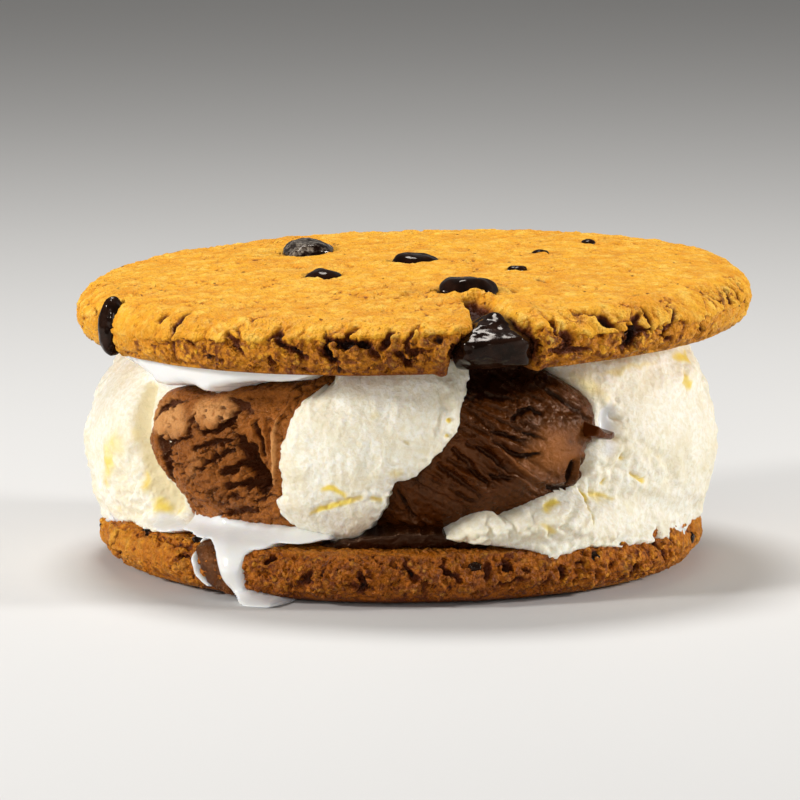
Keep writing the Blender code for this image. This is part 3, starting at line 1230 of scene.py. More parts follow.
@dataclass
class Cookie:
    """What both cookies share: a turned body with a crumbly side and a smooth crust."""

    name: str
    slot: Slot
    node: str
    radius: float
    rough_round: Line  # how crumbly the side is, by azimuth
    toast_round: Line  # how brown the side is, by azimuth: baked browning, and painted shade where it peaks at the front
    side_strokes: tuple[Stroke, ...]
    face_strokes: tuple[Stroke, ...]
    seed: int
    relief: CookieRelief = field(default_factory=CookieRelief)
    crumbs: Crumbs = field(default_factory=Crumbs)
    middle: float = 0.0  # where its axis stands along X
    unevenness: float = 0.6  # how far the rim is pushed in and out
    side_steps: tuple[float, float] = (0.27, 0.33)  # along the section and round the rim
    face_steps: tuple[float, float] = (0.52, 0.62)
    hidden_steps: tuple[float, float] = (1.6, 1.6)
    crowding: float = 0.34

    def profile(self) -> tuple[list, list, list]:
        """Give the half section in three runs: the upper face, the side and the lower face."""
        raise NotImplementedError

    def body(self) -> Shape:
        """Turn the half section.

        Returns:
            The smooth body.
        """
        sizes = (self.face_steps, self.side_steps, self.hidden_steps)
        runs = [evened(run, along) for run, (along, _) in zip(self.profile(), sizes)]
        runs = [runs[0], runs[1][1:], runs[2][1:]]
        steps = [np.full(len(run), round_rim) for run, (_, round_rim) in zip(runs, sizes)]
        return turned_shape(np.vstack(runs), np.concatenate(steps), self.crowding)

    def side_places(self, points: Array) -> Array:
        """Give each point's place on the side: the way round and the height."""
        return np.stack([azimuth_of(points, self.middle) * self.per_degree, points[:, 2]], 1)

    @property
    def per_degree(self) -> float:
        """Give the millimetres in one degree of the rim."""
        return math.radians(self.radius)

    def rounded(self) -> tuple[Shape, Array, Array, Array]:
        """Turn the body and make its rim uneven.

        Returns:
            The body, and the normal, the azimuth and the height of each of its points.
        """
        shape = self.body()
        level = shape.points * (1.0, 1.0, 0.0)
        reach = np.linalg.norm(level, axis=1)
        share = np.clip((reach / self.radius - 0.5) * 2.0, 0.0, 1.0) ** 2
        slow = gradient_noise(level, 26.0, self.seed)
        quick = gradient_noise(shape.points, 6.5, self.seed + 1)
        push = self.unevenness * (0.6 * slow + 0.8 * quick) * share
        shape.points += level / np.maximum(reach, 1e-6)[:, None] * push[:, None]
        return shape, shape.normals(), azimuth_of(shape.points), shape.points[:, 2].copy()

    def sculpt(self, shape: Shape, normals: Array) -> None:
        """Cut the strokes into the body, and keep how deep they are as the hollow mark, which the finish
        darkens as painted shade.

        Args:
            shape: The body to change.
            normals: The way out at each point.
        """
        points = shape.points
        scale = (self.per_degree, 1.0)
        side = self.side_places(points)
        wobble = wobbles(points, 2.2, self.seed + 20)
        lift = sum(stroke.lift(side, wobble, scale) for stroke in self.side_strokes)
        lift *= smooth_step(0.95, 0.70, normals[:, 2]) * smooth_step(-0.97, -0.6, normals[:, 2])
        zero = np.zeros(len(points))
        top = sum((stroke.lift(points[:, :2], wobble) for stroke in self.face_strokes), zero)
        lift = lift + top * smooth_step(0.25, 0.6, normals[:, 2])
        shape.marks[Mark.HOLLOW] = np.maximum(0.0, -lift)
        shape.points = points + normals * lift[:, None]

    def dress(self, shape: Shape, finish: bpy.types.Material) -> bpy.types.Object:
        """Make the object and let it stand for its solid."""
        seed = self.seed * 0.37
        return dressed([shape], self.name, self.relief, seed, finish, [self.node])

    def strew(self, cookie: bpy.types.Object, finish: bpy.types.Material) -> bpy.types.Object:
        """Strew crumbs over the cookie's broken side.

        Args:
            cookie: The finished cookie.
            finish: What it is made of.

        Returns:
            The crumbs, as one object.
        """
        piece = linked(f"{self.name}_crumbs", cookie.data.copy())
        self.crumbs.tree(f"{self.name}_crumbs").apply(piece, finish)
        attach(piece, BODY)
        return piece


@dataclass
class Pocket:
    """The hollow in the top cookie that a piece of chocolate sits in."""

    node: str
    depth: float
    collar: float  # height of the crust's edge round it

    def lift(self, points: Array, normals: Array, wobble: Array) -> Array:
        """Give how far each point moves along its normal.

        Args:
            points: Places in millimetres.
            normals: The way out at each point.
            wobble: How far each place wanders.

        Returns:
            The distances.
        """
        low, high = (np.array(corner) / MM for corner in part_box(self.node))
        middle, half = (low + high) / 2, (high - low) / 2
        away = (points - middle) / (half * 1.02)
        along = np.sum(away * normals, axis=1)[:, None] * normals
        gap = np.linalg.norm(away - along, axis=1) + 0.10 * wobble[:, 0]
        near = smooth_step(2.2, 1.4, np.linalg.norm(points - middle, axis=1) / half.max())
        dip = -self.depth * smooth_step(1.06, 0.90, gap)
        rim = self.collar * np.exp(-(((gap - 1.22) / 0.16) ** 2))
        return (dip + rim) * near


@dataclass
class TopCookie(Cookie):
    """The domed upper cookie, which lies face up and leans."""

    edge: float = 8.2
    dome: float = 2.1
    shoulder: float = 5.0
    heel: float = 2.9
    lean: Lean = field(default_factory=Lean)
    lip: float = 0.42  # how far the crust stands out over the broken side
    lip_line: Line = ()  # height of the crust's lower edge in the cookie's frame, by azimuth
    break_outline: Line = ()  # azimuth and height of the break that bares the front chunk
    pockets: tuple[Pocket, ...] = ()

    def profile(self) -> tuple[list, list, list]:
        """Give the half section in three runs: the dome, the rim and the flat lower face.

        Returns:
            Radii and heights.
        """
        half, rim = self.edge / 2, self.radius
        face = [(r, half) for r in np.linspace(0.0, rim - self.shoulder, 40)]
        upper = arc((rim - self.shoulder, 0.0), (self.shoulder, half), 90, 0)
        lower = arc((rim - self.heel, 0.0), (self.heel, half), 0, -90)
        domed = [[(r, z + self.dome * (1 - (r / rim) ** 2)) for r, z in run] for run in (face, upper)]
        return domed[0], domed[1] + lower[1:], [lower[-1], (0.0, -half)]

    def build(self, finish: bpy.types.Material) -> bpy.types.Object:
        """Build the cookie with its lip, its break, its pockets and its cracks.

        Args:
            finish: What it is made of.

        Returns:
            The crust.
        """
        shape, normals, azimuth, height = self.rounded()
        steep = smooth_step(0.93, 0.70, normals[:, 2]) * smooth_step(-0.99, -0.90, normals[:, 2])
        line = round_the_rim(azimuth, self.lip_line)
        line = line + 0.55 * rough_noise(shape.points, 4.0, 4, self.seed + 5)
        below = smooth_step(0.22, -0.22, height - line)
        crumbly = round_the_rim(azimuth, self.rough_round)
        shape.marks[Mark.ROUGH] = crumbly * below * steep
        lumps = rough_noise(shape.points, 7.0, 3, self.seed + 9)
        step = -self.lip * below * steep * crumbly
        over = 0.5 * self.lip * np.exp(-(((height - line - 0.5) / 0.5) ** 2)) * crumbly * steep
        lift = step + over + 0.55 * lumps * below * steep * crumbly
        lift += 0.16 * rough_noise(shape.points, 11.0, 2, self.seed + 12) * (normals[:, 2] > 0)
        shape.points += normals * lift[:, None]
        shape.points = self.lean.laid(shape.points)
        normals = normals @ self.lean.matrix().T
        self.sculpt(shape, normals)
        self.cut_break(shape, normals)
        self.cut_pockets(shape, normals)
        # Browner below the lip, most at the front: partly baked browning, partly painted shade.
        toast = round_the_rim(azimuth, self.toast_round) * smooth_step(1.5, -1.0, height - line)
        toast = toast * smooth_step(0.95, 0.5, normals[:, 2])
        toast += 0.45 * smooth_step(-2.4, -3.6, height)
        shape.marks[Mark.TOAST] = toast
        shape.marks[Mark.CALM] = smooth_step(-0.93, -0.99, normals[:, 2])
        return self.dress(shape, finish)

    def cut_break(self, shape: Shape, normals: Array) -> None:
        """Break the rim open round the front chunk, with a ragged edge on its left.

        Args:
            shape: The body to change.
            normals: The way out at each point.
        """
        wobble = wobbles(shape.points, 1.6, self.seed + 40)
        places = self.side_places(shape.points) + 0.35 * wobble
        outline = np.array(self.break_outline) * (self.per_degree, 1.0)
        gap = inside_distance(places, outline)
        front = smooth_step(30.0, 40.0, -shape.points[:, 1])
        dip = 2.6 * smooth_step(-0.15, 0.55, gap) * front
        rim = 0.45 * np.exp(-(((gap + 0.9) / 0.8) ** 2)) * front
        shape.points += normals * (rim - dip)[:, None]
        # The dip is kept as hollow, which the finish darkens as painted shade.
        shape.marks[Mark.HOLLOW] += 0.5 * dip

    def cut_pockets(self, shape: Shape, normals: Array) -> None:
        """Sink a pocket for each piece of chocolate.

        Args:
            shape: The body to change.
            normals: The way out at each point.
        """
        wobble = wobbles(shape.points, 1.4, self.seed + 50)
        for pocket in self.pockets:
            lift = pocket.lift(shape.points, normals, wobble)
            shape.points += normals * lift[:, None]
            # The dip is kept as hollow, which the finish darkens as painted shade.
            shape.marks[Mark.HOLLOW] += np.maximum(0.0, -lift) * 0.6


@dataclass
class BottomCookie(Cookie):
    """The lower cookie, which lies domed side down on its foot."""

    middle: float = AXIS
    edge: float = 8.3
    shoulder: float = 3.2
    waist: float = 0.55
    foot: float = 42.0

    def profile(self) -> tuple[list, list, list]:
        """Give the half section in three runs: the flat upper face, the rim and the foot.

        Returns:
            Radii and heights.
        """
        waist, rim = self.edge * self.waist, self.radius
        upper = arc((rim - self.shoulder, waist), (self.shoulder, self.edge - waist), 90, 0)
        lower = arc((self.foot, waist), (rim - self.foot, waist), 0, -90)
        ledge = 30.0
        return (
            [(0.0, self.edge), (ledge, self.edge)],
            [(ledge, self.edge), *upper, *lower[1:]],
            [lower[-1], (0.0, 0.0)],
        )

    def build(self, finish: bpy.types.Material) -> bpy.types.Object:
        """Build the cookie with its lumps, its cracks and its flat foot.

        Args:
            finish: What it is made of.

        Returns:
            The crust.
        """
        shape, normals, azimuth, height = self.rounded()
        reach = np.linalg.norm(shape.points[:, :2], axis=1)
        steep = smooth_step(0.97, 0.75, normals[:, 2]) * smooth_step(-0.99, -0.80, normals[:, 2])
        crumbly = round_the_rim(azimuth, self.rough_round)
        lumps = rough_noise(shape.points, 6.0, 3, self.seed + 9)
        ledge = smooth_step(36.0, 44.0, reach) * (normals[:, 2] > 0.7)
        shape.marks[Mark.ROUGH] = np.clip(crumbly * steep + 0.5 * ledge, 0.0, 1.0)
        lift = 0.6 * lumps * crumbly * steep * smooth_step(0.2, 1.8, height)
        shape.points += normals * lift[:, None]
        shape.points[:, 0] += self.middle
        self.sculpt(shape, normals)
        # Browner round the rim, most at the front: partly baked browning, partly painted shade.
        toast = round_the_rim(azimuth, self.toast_round)
        toast = toast + 0.35 * smooth_step(2.6, 0.4, height)
        shape.marks[Mark.TOAST] = np.clip(toast, 0.0, 1.2)
        shape.marks[Mark.CALM] = np.maximum(smooth_step(1.2, 0.2, height), smooth_step(34.0, 28.0, reach))
        return self.dress(shape, finish)


# ---------------------------------------------------------------- the ice cream


@dataclass
class Drum:
    """An upright drum round the sandwich, on which what shows from the front is laid out.

    A place on it is an azimuth and a height, and it stands for whatever the sight line through it
    meets. Behind the sides of the sandwich a place is simply its own azimuth and height.
    """

    middle: float = AXIS
    radius: float = 52.0
    elevation: float = ELEVATION
    distance: float = DISTANCE
    aim_height: float = AIM

    @property
    def per_degree(self) -> float:
        """Give the millimetres in one degree."""
        return math.radians(self.radius)

    def places(self, points: Array) -> Array:
        """Lay points out on the drum, in millimetres round it and up.

        Args:
            points: Places in millimetres.

        Returns:
            One pair for each point.
        """
        tilt = math.radians(self.elevation)
        back, up = math.cos(tilt) * self.distance, math.sin(tilt) * self.distance
        eye = np.array([0.0, -back, self.aim_height + up])
        way = points - eye
        flat = way[:, :2]
        start = eye[:2] - (self.middle, 0.0)
        square = np.sum(flat**2, axis=1)
        across = flat @ start
        depth = across**2 - square * (start @ start - self.radius**2)
        share = (-across - np.sqrt(np.maximum(depth, 0.0))) / square
        met = eye + way * share[:, None]
        seen = np.stack([azimuth_of(met, self.middle), met[:, 2]], 1)
        own = np.stack([azimuth_of(points, self.middle), points[:, 2]], 1)
        behind = smooth_step(75.0, 100.0, np.abs(own[:, 0]))[:, None]
        return ((1 - behind) * seen + behind * own) * (self.per_degree, 1.0)


@dataclass
class Drape:
    """How melted ice cream lies over the lower cookie: its radius at each height."""

    path: Line = (
        (14.5, 38.5), (11.8, 40.3), (10.0, 43.0), (9.0, 46.0), (7.3, 48.3), (5.0, 49.1), (2.6, 48.4),
        (1.5, 48.4), (0.9, 49.2), (0.4, 50.6), (0.0, 52.4),
    )
    top: float = 12.0  # where it ends
    inset: float = 0.2  # how far its skin lies inside the path
    core: float = 20.0  # radius above its top, inside all scoops

    def radius(self, height: Array) -> Array:
        """Give the radius at each height.

        Args:
            height: In millimetres.

        Returns:
            The radii.
        """
        heights, radii = zip(*sorted(self.path))
        near = [np.interp(height + shift, heights, radii) for shift in np.linspace(-0.6, 0.6, 7)]
        return np.where(height < self.top, np.mean(near, axis=0) - self.inset, self.core)


@dataclass
class Envelope:
    """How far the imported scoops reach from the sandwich's axis, smoothed."""

    nodes: tuple[str, ...]
    middle: float = AXIS
    outside: float = 80.0  # where the rays start
    lowest: float = 8.8
    highest: float = 37.6
    step: float = 0.6
    radii: Array | None = None

    def measure(self, frame: dict) -> None:
        """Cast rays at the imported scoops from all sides.

        Args:
            frame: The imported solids.
        """
        corners, faces = [], []
        for name in self.nodes:
            mesh = frame["nodes"][name].data
            start = len(corners)
            corners += [vertex.co / MM for vertex in mesh.vertices]
            faces += [[start + index for index in face.vertices] for face in mesh.polygons]
        tree = BVHTree.FromPolygons(corners, faces)
        heights = np.arange(self.lowest, self.highest, self.step)
        radii = np.zeros((360, len(heights)))
        for azimuth, way in enumerate(outward(np.arange(360.0) - 180.0)):
            way = Vector(way)
            for row, height in enumerate(heights):
                start = Vector((self.middle, 0.0, height)) + way * self.outside
                hit = tree.ray_cast(start, -way)
                radii[azimuth, row] = self.outside - hit[3] if hit[0] else radii[azimuth, row - 1]
        radii = blurred(radii, 3.5, 0, True)
        self.radii = blurred(radii, 1.8, 1, False)

    def radius(self, azimuth: Array, height: Array) -> Array:
        """Give the smoothed reach at each azimuth and height.

        Args:
            azimuth: In degrees.
            height: In millimetres.

        Returns:
            The radii.
        """
        turn = (azimuth + 180.0) % 360.0
        row = np.clip((height - self.lowest) / self.step, 0.0, self.radii.shape[1] - 1.001)
        left, low = turn.astype(int) % 360, row.astype(int)
        right, share_turn, share_row = (left + 1) % 360, turn - np.floor(turn), row - low
        lower = (1 - share_turn) * self.radii[left, low] + share_turn * self.radii[right, low]
        upper = (1 - share_turn) * self.radii[left, low + 1] + share_turn * self.radii[right, low + 1]
        return (1 - share_row) * lower + share_row * upper


@dataclass(frozen=True)
class Ball:
    """The rounded swell of a scoop: its top's azimuth, height and radius, and how it falls off."""

    azimuth: float
    height: float
    radius: float
    fall_across: float  # per square millimetre, as the others
    fall_up: float
    fall_down: float

    def reach(self, azimuth: Array, height: Array) -> Array:
        """Give its radius about the sandwich's axis at each azimuth and height.

        Args:
            azimuth: In degrees.
            height: In millimetres.

        Returns:
            The radii.
        """
        across = np.radians(azimuth - self.azimuth) * GIRTH
        up = height - self.height
        fall = np.where(up > 0, self.fall_up, self.fall_down)
        return self.radius - self.fall_across * across**2 - fall * up**2


@dataclass(frozen=True)
class Plate:
    """A flat patch that stands up along its ragged edge."""

    outline: Line
    rise: float
    edge: float = 0.5
    ragged: float = 0.4

    def lift(self, places: Array, wobble: Array, scale: tuple) -> Array:
        """Give how far the plate lifts each place, as a stroke does."""
        gap = inside_distance(places + wobble * self.ragged, np.array(self.outline) * scale)
        return self.rise * smooth_step(-0.5 * self.edge, 0.5 * self.edge, gap)


def plates(*rows: tuple) -> tuple[Plate, ...]:
    """Make plates of rows: a rise, how wide the edge is, how ragged, and the corners."""
    return tuple(Plate(row[3:], *row[:3]) for row in rows)


@dataclass(frozen=True)
class Drag:
    """The ragged shingles that a scoop tears as it is dragged through the ice cream."""

    turn: float  # of the shingles' run, from level, in degrees
    spacing: float
    depth: float
    area: tuple[float, float, float, float]  # its middle, and its reach across and up
    seed: int
    ragged: float = 0.55
    stretch: float = 3.5

    def lift(self, places: Array, scale: tuple) -> Array:
        """Give how far the shingles lift each place, as a stroke does.

        Args:
            places: Flat places, in millimetres.
            scale: What takes degrees and millimetres to millimetres.

        Returns:
            One height for each place.
        """
        turn = math.radians(self.turn)
        along = places @ (math.cos(turn), math.sin(turn))
        across = places @ (-math.sin(turn), math.cos(turn))
        flat = np.stack([along / self.stretch, across, np.zeros(len(places))], 1)
        fine = np.stack([along / 1.6, across, np.zeros(len(places))], 1)
        wander = 1.3 * gradient_noise(flat, self.spacing * 2.4, self.seed)
        wander += self.ragged * rough_noise(fine, self.spacing * 0.7, 2, self.seed + 3)
        phase = across / self.spacing + wander
        shingle = np.floor(phase)
        inner = phase - shingle
        saw = (1.0 - inner) ** 0.8 * smooth_step(0.0, 0.16, inner)
        choice = np.sin(shingle * 12.9898 + self.seed) * 43758.5453
        strength = 0.35 + 0.65 * (choice - np.floor(choice))
        broken = smooth_step(-0.45, 0.35, gradient_noise(flat, self.spacing * 2.0, self.seed + 7))
        return self.depth * strength * broken * (saw - 0.55) * within(self.area, places, scale)


@dataclass(frozen=True)
class Clods:
    """Round clods of curdled ice cream, packed close with creases between them."""

    area: tuple[float, float, float, float]  # its middle, and its reach across and up
    size: float
    rise: float
    seed: int

    def lift(self, places: Array, scale: tuple) -> Array:
        """Give how far the clods lift each place, as a stroke does.

        Args:
            places: Flat places, in millimetres.
            scale: What takes degrees and millimetres to millimetres.

        Returns:
            One height for each place.
        """
        at, reach = np.array(self.area[:2]) * scale, 1.6 * np.array(self.area[2:])
        random = np.random.default_rng(self.seed)
        count = int(4.0 * reach[0] * reach[1] / self.size**2)
        flat = np.column_stack([places, np.zeros(len(places))])
        wander = 0.35 * self.size * gradient_noise(flat, 0.8 * self.size, self.seed)
        gap = np.full(len(places), 1.2 * self.size)
        for middle in at + random.uniform(-1.0, 1.0, (count, 2)) * reach:
            gap = np.minimum(gap, np.hypot(*(places - middle).T) + wander)
        dome = 0.75 - (np.maximum(gap, 0.0) / self.size) ** 2
        return self.rise * dome * within(self.area, places, scale)


@dataclass
class Lobe:
    """One face of a scoop, with what shows on it. Places are on the drum."""

    outline: Line
    span: tuple[float, float]  # least and greatest azimuth of the mesh
    ball: Ball | None = None
    enveloped: bool = False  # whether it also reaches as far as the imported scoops
    drapes: bool = False  # whether it lies over the lower cookie's edge
    proud: float = 0.0
    lowest: float = 7.7
    highest: float = 99.0
    pole: float = 23.0  # height of the point on the axis that it closes in
    edge: float = 2.2
    fall: float = 2.0
    fray: float = 0.3  # how ragged its edge is
    fray_size: float = 1.8
    curd: tuple[float, float, float] = (0.0, 0.0, 0.0)  # heights of its coarse to fine lumps
    streak: float = 0.0
    crumple: float = 0.0
    strokes: tuple[Stroke, ...] = ()
    swells: tuple[Swell, ...] = ()
    plates: tuple[Plate, ...] = ()
    drags: tuple[Drag | Clods, ...] = ()
    calms: tuple[Swell, ...] = ()
    wets: tuple[Swell, ...] = ()
    tints: tuple[Stroke, ...] = ()
    smoothing: float = 0.85  # how far what is wet loses its lumps
    merging: float = 0.8  # how softly its bodies run into each other
    margin: float = 0.9  # how far the mesh runs on past the outline
    step: float = 0.26
    seed: int = 1

    def built(self, envelope: Envelope, drum: Drum, drape: Drape, lean: Lean) -> Shape:
        """Build the lobe as a closed shape that runs in to the sandwich's axis.

        Args:
            envelope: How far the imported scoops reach.
            drum: Where places are laid out.
            drape: How the melt lies over the lower cookie.
            lean: How the upper cookie lies.

        Returns:
            The closed shape.
        """
        columns = int(math.radians(self.span[1] - self.span[0]) * GIRTH / self.step) + 2
        rows = int((min(CEILING, self.highest) - self.lowest) / self.step) + 2
        azimuth, share = np.meshgrid(
            np.linspace(*self.span, columns), np.linspace(0.0, 1.0, rows), indexing="ij"
        )
        azimuth, share = azimuth.ravel(), share.ravel()
        way = outward(azimuth)
        under = LEDGE * way + (envelope.middle, 0.0, 0.0)
        roof = lean.height_under(under[:, 0], under[:, 1], TopCookie.edge / 2)
        top = np.minimum(roof + 0.6, self.highest)
        height = self.lowest + share * (top - self.lowest)
        radius = self.base(azimuth, height, envelope, drape)
        points = self.placed(way, radius, height, envelope.middle)
        places = drum.places(points)
        scale = (drum.per_degree, 1.0)
        turns = np.round((azimuth - places[:, 0] / scale[0]) / 360.0)
        places[:, 0] += 360.0 * scale[0] * turns
        frayed = places + self.fray * wobbles(points, self.fray_size, self.seed + 60)
        gap = inside_distance(frayed, softened(np.array(self.outline) * scale, 1))
        lift, marks = self.worked(points, places, scale, gap)
        points = self.placed(way, radius + lift, height, envelope.middle)
        kept = (gap > -self.margin).reshape(columns, rows)
        return closed_patch(points, marks, kept, (envelope.middle, 0.0, self.pole))

    def base(self, azimuth: Array, height: Array, envelope: Envelope, drape: Drape) -> Array:
        """Give the radius of the smooth lobe at each azimuth and height.

        Args:
            azimuth: In degrees.
            height: In millimetres.
            envelope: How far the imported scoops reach.
            drape: How the melt lies over the lower cookie.

        Returns:
            The radii.
        """
        reaches = []
        if self.ball:
            reaches.append(self.ball.reach(azimuth, height))
        if self.enveloped:
            reaches.append(envelope.radius(azimuth, height))
        if self.drapes:
            reaches.append(drape.radius(height))
        greatest = np.max(reaches, axis=0)
        spread = sum(np.exp((reach - greatest) / self.merging) for reach in reaches)
        return greatest + self.merging * np.log(spread) + self.proud

    def placed(self, way: Array, radius: Array, height: Array, middle: float) -> Array:
        """Give the points at a radius and a height.

        Args:
            way: The level way out at each point.
            radius: From the axis.
            height: In millimetres.
            middle: Where the axis stands along X.

        Returns:
            The points.
        """
        points = way * radius[:, None] + (middle, 0.0, 0.0)
        points[:, 2] = height
        return points

    def worked(self, points: Array, places: Array, scale: tuple, gap: Array) -> tuple[Array, dict]:
        """Work the surface.

        Args:
            points: Of the smooth lobe.
            places: The same points on the drum.
            scale: What takes places in degrees and millimetres to millimetres.
            gap: How far each point lies inside the outline.

        Returns:
            How far each point moves out, and the marks.
        """
        wobble = wobbles(points, 1.3, self.seed + 20)
        zero = np.zeros(len(points))

        def summed(made: tuple, *given: Array) -> Array:
            """Add up what each one lifts."""
            return sum((one.lift(places, *given, scale) for one in made), zero)

        cut, torn = summed(self.strokes, wobble), summed(self.drags)
        calm, wet = (np.clip(summed(made), 0.0, 1.0) for made in (self.calms, self.wets))
        wander = wobbles(points, 2.6, self.seed + 30)
        tint = np.max([stroke.lift(places, wander, scale) for stroke in self.tints] or [zero], axis=0)
        still = 1.0 - np.maximum(calm, self.smoothing * wet)
        coarse, middle, fine = self.curd
        curd = coarse * (0.35 - np.abs(gradient_noise(points, 5.2, self.seed + 1)))
        curd += coarse * 0.6 * gradient_noise(points, 3.1, self.seed + 6)
        curd += middle * (0.35 - np.abs(gradient_noise(points, 2.0, self.seed + 2)))
        curd += fine * rough_noise(points, 0.95, 2, self.seed + 3)
        tall = points * (1.0, 1.0, 0.16)
        curd += self.streak * rough_noise(tall, 1.4, 2, self.seed + 4)
        curd += self.crumple * rough_noise(points, 2.3, 3, self.seed + 5)
        torn = torn * (1.0 - calm)
        lift = curd * still + torn + cut + summed(self.swells) + summed(self.plates, wobble)
        near = np.clip(1.0 - gap / self.edge, 0.0, 1.0)
        lift -= self.fall * (1.0 - np.sqrt(1.0 - near**2 * 0.998))
        lift -= np.minimum(7.0, 9.0 * np.maximum(0.0, -gap))
        # How deep a point lies in a furrow or a tear, which the finishes darken as painted shade.
        hollow = np.maximum(0.0, -(cut + 0.9 * torn) - 0.12)
        return lift, {Mark.HOLLOW: hollow, Mark.WET: wet, Mark.TINT: tint, Mark.CALM: 1.0 - still}


def closed_patch(points: Array, marks: dict, kept: Array, pole: tuple) -> Shape:
    """Close a patch of a grid with a fan from its border to a pole behind it.

    Args:
        points: The grid's points, column by column.
        marks: Their marks.
        kept: Which points stay, as a grid.
        pole: The point that the fan meets in.

    Returns:
        The closed shape, without the points that are left out.
    """
    number = np.arange(kept.size).reshape(kept.shape)
    whole = kept[:-1, :-1] & kept[1:, :-1] & kept[1:, 1:] & kept[:-1, 1:]
    first, second = number[:-1, :-1][whole], number[1:, :-1][whole]
    third, fourth = number[1:, 1:][whole], number[:-1, 1:][whole]
    faces = np.vstack([np.stack([first, second, third], 1), np.stack([first, third, fourth], 1)])
    edges = np.vstack([faces[:, [0, 1]], faces[:, [1, 2]], faces[:, [2, 0]]])
    total = len(points) + 1
    there = edges[:, 0] * total + edges[:, 1]
    back = edges[:, 1] * total + edges[:, 0]
    border = edges[~np.isin(there, back)]
    fan = np.stack([border[:, 1], border[:, 0], np.full(len(border), len(points))], 1)
    faces = np.vstack([faces, fan])
    used, faces = np.unique(faces, return_inverse=True)
    points = np.vstack([points, pole])[used]
    marks = {name: np.append(values, 0.0)[used] for name, values in marks.items()}
    return Shape(points, faces.reshape(-1, 3), marks)


@dataclass
class GrainRelief(FineRelief):
    """The fine relief of ice cream or chocolate: grains, pits, and creases between small clods."""

    grain_size: float = 0.8
    grain_height: float = 0.10
    pit_size: float = 2.4
    pit_depth: float = 0.22
    crease_depth: float = 0.0
    crease_size: float = 1.8

    def height(self, relief: Relief, place: Feed, sizes: dict[str, Feed]) -> Socket:
        """Give how high each place is lifted.

        Args:
            relief: The tree under construction.
            place: Places on the piece, in metres.
            sizes: The inputs that give the sizes, by name.

        Returns:
            The heights in metres.
        """
        graph = relief.graph
        stirred = graph.stirred(place, 0.0021, 0.0011)
        grain = graph.noise(stirred, sizes["grain_size"], 3.0, 0.6).outputs[0]
        grain = self.hills(graph, grain, sizes["grain_height"])
        dip = self.pits(graph, stirred, sizes["pit_size"], sizes["pit_depth"], 0.35, 0.03)
        where = graph.spread(graph.noise(place, 0.0034, 2.0).outputs[0], 0.45, 0.62)
        crease = self.seams(
            graph, stirred, sizes["crease_size"], sizes["crease_depth"], (0.14, 0.0), where
        )
        return graph.minus(grain, graph.plus(dip, crease))


def dressed(
    shapes: list[Shape], name: str, relief: FineRelief, seed: float, finish: bpy.types.Material,
    nodes: list[str],
) -> bpy.types.Object:
    """Make one object of shapes, raise its fine relief and let it stand for its solids.

    Args:
        shapes: Its parts.
        name: What it is called.
        relief: Its fine relief.
        seed: Which of its random forms it takes.
        finish: What it is made of.
        nodes: The solids that it stands for, if any.

    Returns:
        The piece.
    """
    piece = reduce(Shape.joined, shapes).to_object(name)
    relief.tree(f"{name}_relief", seed).apply(piece, finish)
    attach(piece, BODY)
    if nodes:
        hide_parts(*nodes)
    return piece


@dataclass
class Scoop:
    """One scoop: the faces of it that show, closed and joined in one piece."""

    name: str
    node: str  # or nothing, for what has no solid of its own
    slot: Slot
    lobes: tuple[Lobe, ...]
    relief: GrainRelief

    def build(
        self, envelope: Envelope, drum: Drum, drape: Drape, lean: Lean, finish: bpy.types.Material
    ) -> bpy.types.Object:
        """Build the scoop and let it stand for its solid.

        Args:
            envelope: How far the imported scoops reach.
            drum: Where places are laid out.
            drape: How the melt lies over the lower cookie.
            lean: How the upper cookie lies.
            finish: What it is made of.

        Returns:
            The scoop.
        """
        shapes = [lobe.built(envelope, drum, drape, lean) for lobe in self.lobes]
        seed, nodes = 0.5 + 0.13 * self.lobes[0].seed, [self.node] if self.node else []
        return dressed(shapes, self.name, self.relief, seed, finish, nodes)


# ---------------------------------------------------------------- the chocolate pieces


@dataclass(frozen=True)
class Chunk:
    """A broken piece of chocolate: facets with worn edges, between a low and a high corner."""

    facets: tuple[tuple[float, float, float, float], ...]  # way out, and how far
    seed: int
    low: tuple[float, float, float] = (0.0, 0.0, 0.0)
    high: tuple[float, float, float] = (0.0, 0.0, 0.0)
    node: str = ""  # whose box it fills instead, if it has a solid
    ball: float = 1.0  # radius of the ball that it is cut from
    sharpness: float = 16.0
    lumps: float = 0.06
    rings: int = 64

    def shape(self) -> Shape:
        """Build the piece as a closed shape.

        Returns:
            The closed shape.
        """
        half_ring = arc((0.0, 0.0), (1.0, 1.0), 90, -90, self.rings)
        half_ring[0], half_ring[-1] = (0.0, 1.0), (0.0, -1.0)
        steps = np.full(self.rings, math.pi / self.rings)
        shape = turned_shape(np.array(half_ring), steps, 0.0)
        way = shape.points
        random = np.random.default_rng(self.seed)
        cuts = [(*outwards, far) for *outwards, far in self.facets]
        for outwards in random.normal(size=(6, 3)):
            cuts.append((*outwards, random.uniform(0.80, 0.98)))
        total = np.full(len(way), self.ball**-self.sharpness)
        for *outwards, far in cuts:
            unit = np.array(outwards) / np.linalg.norm(outwards)
            total += (np.maximum(way @ unit, 0.0) / far) ** self.sharpness
        radius = total ** (-1.0 / self.sharpness)
        radius *= 1.0 + self.lumps * rough_noise(way, 0.7, 2, self.seed + 1)
        points = way * radius[:, None]
        least, most = points.min(axis=0), points.max(axis=0)
        low, high = self.low, self.high
        if self.node:
            low, high = (tuple(np.array(corner) / MM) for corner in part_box(self.node))
        shape.points = np.array(low) + (points - least) / (most - least) * (np.array(high) - low)
        return shape


